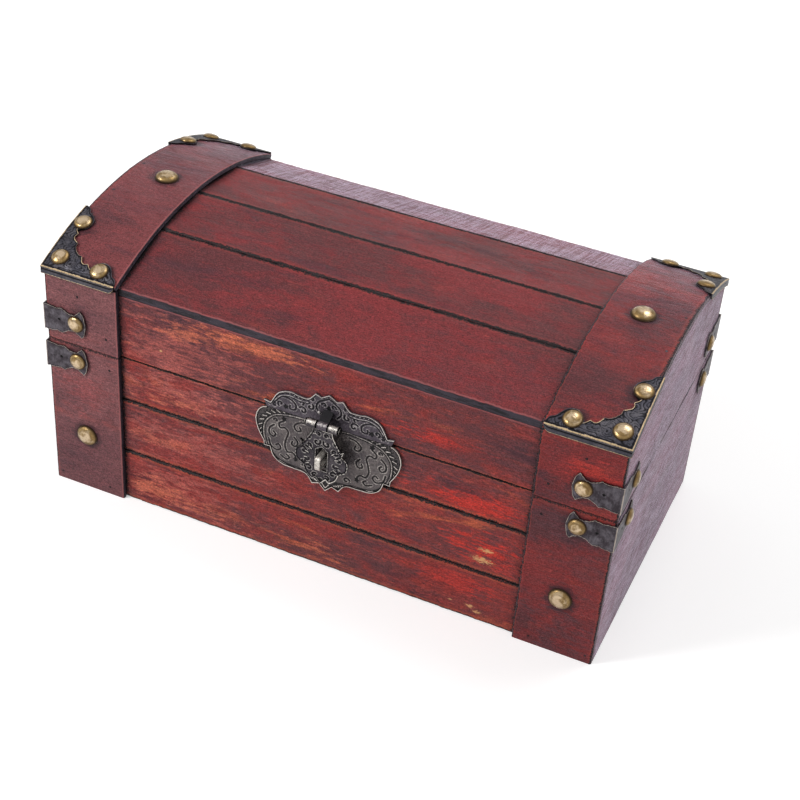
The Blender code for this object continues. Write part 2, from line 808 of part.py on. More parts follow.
def pin(name, radius, half_length, centre, finish):
    """A headed pin along X."""
    into_head = Vector((half_length + PIN_HEAD_LENGTH / 2, 0, 0))
    shaft = rod(name, radius, centre - into_head, centre + into_head, finish)
    for end, along_x in SIDES:
        reach = sorted((along_x * half_length, along_x * (half_length + PIN_HEAD_LENGTH)))
        low, high = [centre + Vector((x, 0, 0)) for x in reach]
        combine(shaft, rod(f"{name}_head_{end}", radius + PIN_HEAD_RISE, low, high), "UNION")
    smooth(shaft)
    return shaft


def latch_lid_plate():
    outline = both_halves(LID_PLATE_SHARES, LID_PLATE_HALF_WIDTH, LID_PLATE_HEIGHT, LID_BOTTOM, False)
    centre = (0, -(PLATE_BACK + PLATE_FACE) / 2, 0)
    plate = outline_solid("latch_lid_plate", outline, LATCH_SHEET, FACING_FRONT, centre, AGED_METAL)
    reach = BARREL_RADIUS / 2
    tab = [
        (-(PLATE_BACK + PLATE_FACE) / 2, BARREL_Z + TAB_RISE),
        (-(PLATE_BACK + PLATE_FACE) / 2, BARREL_Z + TAB_RISE - TAB_THICKNESS),
        (BARREL_Y + reach, BARREL_Z + reach - TAB_THICKNESS / 2),
        (BARREL_Y - reach / 2, BARREL_Z + reach + TAB_THICKNESS / 2),
    ]
    low_x, high_x = LATCH_X - MIDDLE_KNUCKLE_HALF, LATCH_X + MIDDLE_KNUCKLE_HALF
    inset = SEAT_GAP / 2
    combine(plate, profile_along_x("latch_tab", tab, low_x + inset, high_x - inset), "UNION")
    low, high = (low_x, BARREL_Y, BARREL_Z), (high_x, BARREL_Y, BARREL_Z)
    combine(plate, rod("latch_middle_knuckle", BARREL_RADIUS, low, high), "UNION")
    combine(plate, LATCH_PIN_HOLE, "DIFFERENCE")


def latch_hasp():
    neck = BARREL_RADIUS + SEAT_GAP
    notch = MIDDLE_KNUCKLE_HALF + SEAT_GAP
    tongue, outer = notch + TONGUE_INSET, BARREL_HALF_LENGTH - TONGUE_INSET
    right = [
        (tongue, BARREL_Z - neck, True),
        (tongue, BARREL_Z, True),
        (outer, BARREL_Z, True),
        (outer, BARREL_Z - neck, True),
    ]
    right += [(HASP_HALF_WIDTH * a, BARREL_Z - HASP_DROP * b, sharp) for a, b, sharp in HASP_SHARES]
    left = [(-a, b, sharp) for a, b, sharp in reversed(right) if a > 0]
    outline = [(LATCH_X + a, b, sharp) for a, b, sharp in right + left]
    centre = (0, BARREL_Y + HASP_BACK_SET, 0)
    hasp = outline_solid("latch_hasp", outline, HASP_SHEET, FACING_FRONT, centre, AGED_METAL)
    for side, along_x in SIDES:
        ends = sorted((along_x * notch, along_x * BARREL_HALF_LENGTH))
        low, high = [(LATCH_X + x, BARREL_Y, BARREL_Z) for x in ends]
        combine(hasp, rod(f"hasp_knuckle_{side}", BARREL_RADIUS, low, high), "UNION")
    combine(hasp, LATCH_PIN_HOLE, "DIFFERENCE")
    slot_low, slot_high = BARREL_Z - SLOT_BOTTOM, BARREL_Z - SLOT_TOP
    slot = [
        (LATCH_X - SLOT_HALF_WIDTH, slot_low),
        (LATCH_X + SLOT_HALF_WIDTH, slot_low),
        (LATCH_X + SLOT_HALF_WIDTH, slot_high - SLOT_POINT),
        (LATCH_X, slot_high),
        (LATCH_X - SLOT_HALF_WIDTH, slot_high - SLOT_POINT),
    ]
    cutter = outline_solid("hasp_slot", slot, HASP_SHEET + 2 * OVERRUN, FACING_FRONT, centre)
    combine(hasp, cutter, "DIFFERENCE")
    return hasp


def tenon_hole():
    """The clearance cut round the eye's tenon, through the plate and into the plank."""
    z = BASE_HEIGHT - EYE_DROP
    half_x = EYE_THICKNESS / 2 + SEAT_GAP
    half_z = TENON_HALF_HEIGHT + SEAT_GAP
    back = BOARD_FACE - TENON_LENGTH - SEAT_GAP
    low = (LATCH_X - half_x, -PLATE_FACE - OVERRUN, z - half_z)
    return block("tenon_hole", low, (LATCH_X + half_x, -back, z + half_z))


def latch_base_plate(cut_for_eye):
    outline = both_halves(BASE_PLATE_SHARES, BASE_PLATE_HALF_WIDTH, BASE_PLATE_HEIGHT, BASE_HEIGHT, True)
    centre = (0, -(PLATE_BACK + PLATE_FACE) / 2, 0)
    plate = outline_solid("latch_base_plate", outline, LATCH_SHEET, FACING_FRONT, centre, AGED_METAL)
    combine(plate, cut_for_eye, "DIFFERENCE")


def staple_front(tip, half_height, corner):
    """The rounded front of the eye's outline in Y and Z, from its top to its bottom."""
    z = BASE_HEIGHT - EYE_DROP
    turn = corner * (1 - math.cos(math.pi / 4))
    upper = [
        (tip + corner, half_height, True),
        (tip + turn, half_height - turn, False),
        (tip, half_height - corner, True),
    ]
    lower = [(y, -rise, sharp) for y, rise, sharp in reversed(upper)]
    return [(y, z + rise, sharp) for y, rise, sharp in upper + lower]


def latch_eye():
    """A bent staple through the hasp's slot, with room for a padlock and a tenon in the wood."""
    z = BASE_HEIGHT - EYE_DROP
    seat = -(PLATE_FACE + SEAT_GAP)
    tip = -(PLATE_FACE + EYE_REACH)
    tail = -(BOARD_FACE - TENON_LENGTH)
    outline = [
        (seat, z - EYE_HALF_HEIGHT, True),
        (seat, z - TENON_HALF_HEIGHT, True),
        (tail, z - TENON_HALF_HEIGHT, True),
        (tail, z + TENON_HALF_HEIGHT, True),
        (seat, z + TENON_HALF_HEIGHT, True),
        (seat, z + EYE_HALF_HEIGHT, True),
        *staple_front(tip, EYE_HALF_HEIGHT, EYE_CORNER),
    ]
    centre = (LATCH_X, 0, 0)
    eye = outline_solid("latch_eye", outline, EYE_THICKNESS, ALONG_X, centre, AGED_METAL)
    inside = EYE_HALF_HEIGHT - EYE_BAND
    loop = staple_front(tip + EYE_BAND, inside, EYE_CORNER - EYE_BAND)
    loop += [(seat - EYE_FOOT, z - inside, True), (seat - EYE_FOOT, z + inside, True)]
    through = outline_solid("padlock_hole", loop, EYE_THICKNESS + 2 * OVERRUN, ALONG_X, centre)
    combine(eye, through, "DIFFERENCE")


def latch_pin_hole():
    reach = BARREL_HALF_LENGTH + OVERRUN
    low, high = (LATCH_X - reach, BARREL_Y, BARREL_Z), (LATCH_X + reach, BARREL_Y, BARREL_Z)
    return rod("latch_pin_hole", LATCH_PIN_RADIUS + SEAT_GAP, low, high)


LATCH_PIN_HOLE = latch_pin_hole()


# Hinges


def hinge_leaf(name, centre_x, upward, knuckles):
    """A leaf on the back, above or below the pin, cut back beside the tongues that its knuckles sit on."""
    half = HINGE_LEAF_WIDTH / 2
    inner, outer = BOARD_FACE + SEAT_GAP, BOARD_FACE + SEAT_GAP + HINGE_SHEET
    low_z, high_z = sorted((SEAM_Z, SEAM_Z + upward * HINGE_LEAF_HEIGHT))
    leaf = block(name, (centre_x - half, inner, low_z), (centre_x + half, outer, high_z), AGED_METAL)
    edge = SEAM_Z + upward * (HINGE_RADIUS + SEAT_GAP)
    low_z, high_z = sorted((edge, SEAM_Z - upward * OVERRUN))
    bounds = [-half - OVERRUN, *(x for knuckle in knuckles for x in knuckle), half + OVERRUN]
    for number, (start, end) in enumerate(zip(bounds[::2], bounds[1::2])):
        low = (centre_x + start - TONGUE_INSET, inner - OVERRUN, low_z)
        high = (centre_x + end + TONGUE_INSET, outer + OVERRUN, high_z)
        combine(leaf, block(f"{name}_notch_{number}", low, high), "DIFFERENCE")
    for number, (start, end) in enumerate(knuckles):
        low, high = (centre_x + start, HINGE_Y, SEAM_Z), (centre_x + end, HINGE_Y, SEAM_Z)
        combine(leaf, rod(f"{name}_knuckle_{number}", HINGE_RADIUS, low, high), "UNION")
    reach = half + OVERRUN
    low, high = (centre_x - reach, HINGE_Y, SEAM_Z), (centre_x + reach, HINGE_Y, SEAM_Z)
    combine(leaf, rod(f"{name}_bore", HINGE_PIN_RADIUS + SEAT_GAP, low, high), "DIFFERENCE")


def hinges():
    half = HINGE_LEAF_WIDTH / 2
    outer = HINGE_MIDDLE_HALF + SEAT_GAP
    for side, along_x in SIDES:
        x = along_x * HINGE_X
        middle = [(-HINGE_MIDDLE_HALF, HINGE_MIDDLE_HALF)]
        hinge_leaf(f"hinge_lid_leaf_{side}", x, 1, middle)
        hinge_leaf(f"hinge_base_leaf_{side}", x, -1, [(-half, -outer), (outer, half)])
        centre = Vector((x, HINGE_Y, SEAM_Z))
        pin(f"hinge_pin_{side}", HINGE_PIN_RADIUS, half + SEAT_GAP, centre, AGED_METAL)


# Pivots


def pivot(name, location):
    made = bpy.data.objects.new(name, None)
    made.location = location
    BOX.objects.link(made)
    return made


def attach(obj, parent):
    obj.parent = parent
    obj.matrix_parent_inverse = parent.matrix_world.inverted()


def group_by_body():
    """Hangs the lid's pieces on the hinge line, and the hasp on its pin."""
    lid = pivot("lid_pivot", (0, HINGE_Y, SEAM_Z))
    hasp = pivot("hasp_pivot", (LATCH_X, BARREL_Y, BARREL_Z))
    bpy.context.view_layer.update()
    attach(hasp, lid)
    for obj in list(BOX.objects):
        if obj.name == "latch_hasp":
            attach(obj, hasp)
        elif obj.name.startswith(("lid_", "latch_lid", "latch_pin", "hinge_lid")) and obj != lid:
            attach(obj, lid)


def build():
    cut_for_eye = tenon_hole()
    base_planks(cut_for_eye)
    base_panels()
    upright_strap("base_strap_{end}_{side}", 0, BASE_HEIGHT)
    lid_rails()
    lid_ends()
    lid_planks()
    strap_top = arch_z(STRAP_INNER_RADIUS, STRAP_FACE) - SEAT_GAP
    upright_strap("lid_strap_{end}_{side}", LID_BOTTOM, strap_top)
    lid_top_straps()
    corner_plates()
    brackets("base_bracket_{end}_{side}", BASE_BRACKET_Z)
    brackets("lid_bracket_{end}_{side}", LID_BRACKET_Z)
    strap_tacks()
    latch_lid_plate()
    latch_base_plate(cut_for_eye)
    latch_eye()
    latch_hasp()
    barrel_centre = Vector((LATCH_X, BARREL_Y, BARREL_Z))
    pin("latch_pin", LATCH_PIN_RADIUS, BARREL_HALF_LENGTH + SEAT_GAP, barrel_centre, AGED_METAL)
    hinges()
    group_by_body()


build()
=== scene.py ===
"""Looks of a small keepsake chest: stained boards, end straps, stamped metal corners, tacks and a hasp.

Lengths are in millimetres until a mesh is made. X runs along the front, Y to the back, Z up.
"""

import math

import bpy
import numpy as np
from mathutils import Matrix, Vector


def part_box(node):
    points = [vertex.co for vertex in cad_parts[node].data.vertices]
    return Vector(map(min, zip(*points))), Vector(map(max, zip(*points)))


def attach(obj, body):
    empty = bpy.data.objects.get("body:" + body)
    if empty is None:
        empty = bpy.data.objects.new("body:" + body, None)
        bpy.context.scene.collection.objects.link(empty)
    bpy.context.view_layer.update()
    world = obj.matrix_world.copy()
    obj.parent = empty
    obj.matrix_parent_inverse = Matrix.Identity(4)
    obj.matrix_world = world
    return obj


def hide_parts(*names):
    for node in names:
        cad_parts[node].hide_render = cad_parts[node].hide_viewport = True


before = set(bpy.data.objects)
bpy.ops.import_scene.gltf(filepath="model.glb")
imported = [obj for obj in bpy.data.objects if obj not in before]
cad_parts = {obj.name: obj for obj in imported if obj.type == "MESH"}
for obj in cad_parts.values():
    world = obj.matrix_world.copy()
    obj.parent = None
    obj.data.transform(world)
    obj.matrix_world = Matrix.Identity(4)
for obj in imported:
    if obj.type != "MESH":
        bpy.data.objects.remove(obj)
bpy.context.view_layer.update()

MM = 0.001
SHARP_ANGLE = math.radians(38)
POLE = 0.01
FAR_OFF = 40.0
SHARP = True
BACK_INSET = 0.4

# Sizes of the chest, as in its source
HALF_LENGTH = 150.0
BOARD_FACE = 77.5
BOARD_THICKNESS = 8.0
SEAT_GAP = 0.3
STRAP_INNER_X = 109.2
STRAP_WIDTH = 40.8
STRAP_THICKNESS = 2.2
STRAP_FACE = 80.0
BASE_HEIGHT = 89.0
LID_BOTTOM = 89.3
METAL_FRONT = 81.0
METAL_SIDE = 151.0
SHEET = 0.7
ARCH_RADIUS = 196.74
ARCH_CENTRE_Z = -49.44
METAL_RADIUS = 197.74
ROOF_CORNERS = np.array([(-77.5, 128.72), (-36.4, 141.4), (0.0, 144.8), (40.6, 140.5), (77.5, 128.72)])
ROOF_THICKNESS = 5.0
ROOF_RUN, ROOF_RISE = ROOF_CORNERS[1] - ROOF_CORNERS[0]
ROOF_SLOPE = math.atan2(ROOF_RISE, ROOF_RUN)
ROOF_EDGE = 3.6

# Tacks and nails, as distances from the middle and heights, or depths on the lid's top
STRAP_TACK = (130.0, 34.2)
TOP_TACK = (128.0, 147.3)
CORNER_TACKS = ((144.0, 74.0), (121.2, 75.3), (145.3, 51.2))
BRACKET_HEIGHTS = {"base": 80.2, "lid": 102.5}
BRACKET_TACK_X = 132.5
BRACKET_TACK_Y = 62.5
STRAP_NAILS = (
    ("lid", 131.4, 118.2), ("lid", 115.9, 98.2),
    ("base", 114.8, 80.0), ("base", 146.5, 4.5), ("base", 117.5, 4.5),
)
TOP_NAILS = ((146.0, -22.0), (146.5, 8.0), (145.5, -43.0), (114.0, 58.0))

# Radius that the painted shade round each kind of head starts from: a nail's is below 0, so the shade round a
# nail is faint
SMALL_HALO, STRAP_HALO, TOP_HALO, NAIL_HALO = 4.8, 5.8, 6.0, -2.4

END_SHAPE = {"lip": (0.4, 0.4), "drop": 0.4, "ragged": 0.1, "ends": (2.2, 1.5)}
UP = (0, 0, 1)
SIDES = (("left", -1), ("right", 1))
ENDS = (("front", -1), ("back", 1))


# Shapes


def ripple(along, seed, height, lengths):
    """A wavy line: height / sqrt(n) times the sum of n sines, sin(2 pi s / length + start)."""
    starts = np.random.default_rng(seed).uniform(0, 2 * math.pi, len(lengths))
    waves = [np.sin(2 * math.pi * along / length + start) for length, start in zip(lengths, starts)]
    return height * np.sum(waves, axis=0) / math.sqrt(len(lengths))


def arch_z(radius, y):
    """Height of the lid's arch at depth y: centre + sqrt(radius^2 - y^2)."""
    return ARCH_CENTRE_Z + np.sqrt(radius**2 - np.asarray(y, float) ** 2)


def span(node):
    """Lowest and highest corner of a solid, in millimetres."""
    return [np.array(corner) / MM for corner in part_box(node)]


def volume(points, faces):
    """Signed volume: the sum of the tetrahedra from the origin to each triangle of each face."""
    total = 0.0
    for group in faces:
        first = points[group[:, 0]]
        for k in range(1, group.shape[1] - 1):
            turned = np.cross(points[group[:, k]], points[group[:, k + 1]])
            total += np.einsum("ij,ij->", first, turned)
    return total


def outward_faces(shell):
    """The same shell with its faces turned round if its volume is negative."""
    points, faces, values = shell
    if volume(points - points.mean(axis=0), faces) < 0:
        faces = [group[:, ::-1] for group in faces]
    return points, faces, values


def loft(rings, values, joined=False):
    """Skin through closed rings: point (i, j) joins (i + 1, j) and (i, j + 1).

    The last ring joins the first when joined, else each end is closed by a fan to its middle.
    """
    rows, columns = rings.shape[:2]
    index = np.arange(rows * columns).reshape(rows, columns)
    beside = np.roll(index, -1, axis=1)
    if joined:
        near, far = index, np.roll(index, -1, axis=0)
        near_beside, far_beside = beside, np.roll(beside, -1, axis=0)
    else:
        near, far, near_beside, far_beside = index[:-1], index[1:], beside[:-1], beside[1:]
    faces = [np.stack([near, near_beside, far_beside, far], -1).reshape(-1, 4)]
    points = rings.reshape(-1, 3)
    values = {key: np.broadcast_to(value, (rows, columns)).reshape(-1) for key, value in values.items()}
    if not joined:
        middles = rings[[0, -1]].mean(axis=1)
        count = rows * columns
        points = np.concatenate([points, middles])
        start = np.stack([beside[0], index[0], np.full(columns, count)], -1)
        end = np.stack([index[-1], beside[-1], np.full(columns, count + 1)], -1)
        faces.append(np.concatenate([start, end]))
        ends = {key: value.reshape(-1)[[0, -1]] for key, value in values.items()}
        values = {key: np.concatenate([value, ends[key]]) for key, value in values.items()}
    return outward_faces((points, faces, values))


def turned(profile, steps, values, wobble=0.0, seed=0, joined=False):
    """Turns a profile of (radius, height) once round its axis, from pole to pole, or back to its start.

    The radius varies round the axis by the wobble, so no head is a perfect round.
    """
    profile = np.asarray(profile, float)
    angle = np.linspace(0, 2 * math.pi, steps, endpoint=False)
    starts = np.random.default_rng(seed).uniform(0, 2 * math.pi, 3)
    uneven = 1 + wobble * sum(np.sin(k * angle + start) for k, start in zip((2, 3, 5), starts)) / 3
    radius = profile[:, :1] * uneven
    height = np.repeat(profile[:, 1:], steps, 1)
    rings = np.stack([radius * np.cos(angle), radius * np.sin(angle), height], -1)
    per_ring = {key: np.asarray(value, float).reshape(len(profile), -1) for key, value in values.items()}
    return loft(rings, per_ring, joined)


def seated(shell, at, outward, aside=(1, 0, 0)):
    """Moves a shell to a point, with its own Z turned to the outward direction."""
    points, faces, values = shell
    up = np.asarray(outward, float) / np.linalg.norm(outward)
    across = np.cross(np.asarray(aside, float), up)
    if np.linalg.norm(across) < 0.1:
        across = np.cross(UP, up)
    across /= np.linalg.norm(across)
    along = np.cross(across, up)
    return points @ np.array([along, across, up]) + np.asarray(at, float), faces, values


def make_piece(name, shells, finish, body, nodes=()):
    """One mesh from several closed shells, with their values as attributes, riding on a body."""
    shells = [outward_faces(shell) for shell in shells]
    starts = np.cumsum([0] + [len(points) for points, _, _ in shells])
    points = np.concatenate([points for points, _, _ in shells]) * MM
    faces = []
    for (_, groups, _), start in zip(shells, starts):
        for group in groups:
            faces += (group + start).tolist()
    mesh = bpy.data.meshes.new(name)
    mesh.from_pydata(points.tolist(), [], faces)
    for key in sorted({key for _, _, values in shells for key in values}):
        blank = [values.get(key, np.zeros(len(points))) for points, _, values in shells]
        mesh.attributes.new(key, "FLOAT", "POINT").data.foreach_set(
            "value", np.concatenate(blank).astype(np.float32)
        )
    mesh.shade_smooth()
    mesh.set_sharp_from_angle(angle=SHARP_ANGLE)
    mesh.materials.append(finish)
    piece = bpy.data.objects.new(name, mesh)
    bpy.context.scene.collection.objects.link(piece)
    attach(piece, body)
    if nodes:
        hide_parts(*nodes)


def plank(
    path, across, outward, width, thickness=BOARD_THICKNESS, lip=(0.7, 0.7), ink=(1.0, 1.0), drop=0.9,
    ragged=0.22, seed=1, under=(0, 0), bow=0.08, cells=8, spots=(), ends=(0, 0),
):
    """A board: its section carried along a path that follows the start edge of its face.

    The section runs over the back, up one side, over a worn lip, across the face and down again.
    The lips wander along the board by the ragged amount, and the face bows by a hair.
    The value edge is the distance from the nearer lip over that lip's ink width, or from an end over
    that end's, side is 1 down a side that has no ink, rub is the distance from such a side,
    for a pale line of wear and painted highlight, halo is the distance from the nearest spot, a point
    and its radius, for the painted shade round heads, and inside is 1 on the board's back.
    """
    path = np.asarray(path, float)
    rows = len(path)
    along = travelled(path)
    width = np.broadcast_to(width, rows).astype(float)
    out = np.array([0, 0, 0, 0, 0.35, 0.75, 1.0])
    fall = np.array([-thickness, -thickness, -thickness / 2, -drop, -0.45 * drop, -0.12 * drop, 0])
    wander = [ripple(along, seed + 50 * k, ragged, (3.1, 5.7, 9.3, 17, 41)) for k in (0, 1)]
    inner = [out * (lip[k] + np.maximum(wander[k], -0.8 * lip[k]))[:, None] for k in (0, 1)]
    start, stop = inner[0][:, -1:], width[:, None] - inner[1][:, -1:]
    flat = width - inner[0][:, -1] - inner[1][:, -1]
    rim = np.array([1.0, 2.5]) / float(np.median(flat))
    share = np.concatenate([rim, np.linspace(rim[1], 1 - rim[1], cells + 2)[1:-1], 1 - rim[::-1]])
    face = start + flat[:, None] * share
    position = np.concatenate([inner[0], face, width[:, None] - inner[1][:, ::-1]], axis=1)
    for k, turned_in in ((0, 1), (-1, -1)):
        position[:, k] += turned_in * (under[k] + BACK_INSET)
        position[:, k + turned_in] += turned_in * under[k]
        position[:, k + 2 * turned_in] += turned_in * under[k] / 2
    height = np.broadcast_to(np.concatenate([fall, 0 * share, fall[::-1]]), position.shape).copy()
    height += (height >= 0) * ripple(along, seed + 9, bow, (37, 71, 113))[:, None]
    near = (position - start) / ink[0] if ink[0] else np.full_like(position, FAR_OFF)
    far = (stop - position) / ink[1] if ink[1] else np.full_like(position, FAR_OFF)
    edge = np.clip(np.minimum(near, far), 0, FAR_OFF)
    side, inside = np.zeros_like(position), np.zeros_like(position)
    rub, halo = np.full_like(position, FAR_OFF), np.full_like(position, FAR_OFF)
    sides = ((0, slice(1, 5), slice(0, 3), start), (1, slice(-5, -1), slice(-3, None), stop))
    for k, wall, deep, lip_line in sides:
        edge[:, wall] = 0 if ink[k] else FAR_OFF
        side[:, wall] = 0 if ink[k] else 1
        inside[:, deep] = ((1, 1, 0.5) if ink[k] else (1, 0, 0))[:: 1 - 2 * k]
        if not ink[k]:
            rub = np.minimum(rub, np.abs(position - lip_line))
    for width_of_ink, distance in zip(ends, (along, along[-1] - along)):
        if width_of_ink:
            edge = np.minimum(edge, (distance / width_of_ink)[:, None])
    edge[:, [0, -1]] = FAR_OFF
    frame_across = np.broadcast_to(across, (rows, 3))[:, None, :]
    frame_out = np.broadcast_to(outward, (rows, 3))[:, None, :]
    rings = path[:, None, :] + position[:, :, None] * frame_across + height[:, :, None] * frame_out
    # Each spot is a tack or nail head, round which the wood gets painted shade
    for *spot, radius in spots:
        halo = np.minimum(halo, np.linalg.norm(rings - np.array(spot), axis=2) - radius)
    return loft(rings, {"edge": edge, "side": side, "halo": halo, "rub": rub, "inside": inside})


def travelled(path):
    """Distance along a path at each of its points."""
    return np.concatenate([[0], np.cumsum(np.linalg.norm(np.diff(path, axis=0), axis=1))])


def line(start, end, step=1.5):
    """Points from start to end, about a step apart."""
    start, end = np.asarray(start, float), np.asarray(end, float)
    count = max(2, int(np.linalg.norm(end - start) / step) + 1)
    return start + (end - start) * np.linspace(0, 1, count)[:, None]


def traced(shares, steps=6):
    """A line through shares: straight at points marked sharp by a third entry, a smooth cubic elsewhere.

    A smooth point's slope is that from its neighbour before to its neighbour after.
    """
    points = np.array([share[:2] for share in shares], float)
    sharp = [len(share) > 2 for share in shares]
    sharp[0] = sharp[-1] = True
    slope = np.zeros_like(points)
    slope[1:-1] = (points[2:] - points[:-2]) / 2
    ease = np.linspace(0, 1, steps, endpoint=False)[:, None]
    parts = []
    for k, chord in enumerate(np.diff(points, axis=0)):
        before = chord if sharp[k] else slope[k]
        after = chord if sharp[k + 1] else slope[k + 1]
        parts.append(
            (2 * ease**3 - 3 * ease**2 + 1) * points[k]
            + (ease**3 - 2 * ease**2 + ease) * before
            + (3 * ease**2 - 2 * ease**3) * points[k + 1]
            + (ease**3 - ease**2) * after
        )
    return np.concatenate(parts + [points[-1:]])


# Finishes


def feed(tree, socket, value):
    """Gives a socket a value, or a link if the value is another socket."""
    if isinstance(value, bpy.types.NodeSocket):
        tree.links.new(value, socket)
    else:
        socket.default_value = value


def colour(red, green, blue):
    """A screen colour of 0 to 255 as the linear colour that shaders take: ((c + 0.055) / 1.055)^2.4."""
    share = np.array([red, green, blue]) / 255
    linear = np.where(share <= 0.04045, share / 12.92, ((share + 0.055) / 1.055) ** 2.4)
    return (*linear.tolist(), 1.0)


class Finish:
    """A material's nodes, wired by short calls that return an output socket."""

    def __init__(self, name):
        self.material = bpy.data.materials.new(name)
        self.material.use_nodes = True
        self.tree = self.material.node_tree

    def add(self, kind, values=None, **settings):
        node = self.tree.nodes.new(kind)
        for key, value in settings.items():
            setattr(node, key, value)
        for key, value in (values or {}).items():
            feed(self.tree, node.inputs[key], value)
        return node

    def place(self, scale=(1, 1, 1), turn=(0, 0, 0), shift=(0, 0, 0)):
        """Object coordinates in millimetres, stretched and turned."""
        coordinates = self.add("ShaderNodeTexCoord").outputs["Object"]
        sizes = tuple(s / MM for s in scale)
        mapping = {"Vector": coordinates, "Scale": sizes, "Rotation": turn, "Location": shift}
        return self.add("ShaderNodeMapping", mapping).outputs["Vector"]

    def noise(self, place, detail=3.0, roughness=0.55, distortion=0.0):
        values = {"Vector": place, "Scale": 1.0, "Detail": detail}
        values.update({"Roughness": roughness, "Distortion": distortion})
        return self.add("ShaderNodeTexNoise", values).outputs["Fac"]

    def reach(self, scale, shift=(0, 0, 0)):
        """Length of the stretched and shifted coordinates."""
        node = self.add("ShaderNodeVectorMath", operation="LENGTH")
        feed(self.tree, node.inputs[0], self.place(scale, shift=shift))
        return node.outputs["Value"]

    def spot(self, x, z, length, height, face):
        """Distance from a spot on a face at depth y, as a share of its ellipse: 1 at its rim."""
        shift = (-2 * x / length, -0.02 * face, -2 * z / height)
        return self.reach((2 / length, 0.02, 2 / height), shift)

    def value(self, name):
        return self.add("ShaderNodeAttribute", attribute_name=name).outputs["Fac"]

    def maths(self, operation, *values):
        node = self.add("ShaderNodeMath", operation=operation)
        for socket, value in zip(node.inputs, values):
            feed(self.tree, socket, value)
        return node.outputs[0]

    def plus(self, first, second):
        return self.maths("ADD", first, second)

    def times(self, first, second):
        return self.maths("MULTIPLY", first, second)

    def step(self, value, low, high, start=0.0, end=1.0):
        """Eases from start to end as the value goes from low to high."""
        values = {"Value": value, "From Min": low, "From Max": high, "To Min": start, "To Max": end}
        return self.add("ShaderNodeMapRange", values, interpolation_type="SMOOTHSTEP").outputs[0]

    def mix(self, share, first, second, blend="MIX"):
        node = self.add("ShaderNodeMix", data_type="RGBA", blend_type=blend)
        for number, value in ((0, share), (6, first), (7, second)):
            feed(self.tree, node.inputs[number], value)
        return node.outputs[2]

    def shaded(self, tone, by):
        """A tone multiplied by a grey value."""
        return self.mix(1.0, tone, by, "MULTIPLY")

    def bump(self, height, depth):
        values = {"Height": height, "Distance": depth * MM, "Strength": 1.0}
        return self.add("ShaderNodeBump", values).outputs["Normal"]

    def shade(self, values):
        for key, value in values.items():
            feed(self.tree, self.tree.nodes["Principled BSDF"].inputs[key], value)
        return self.material


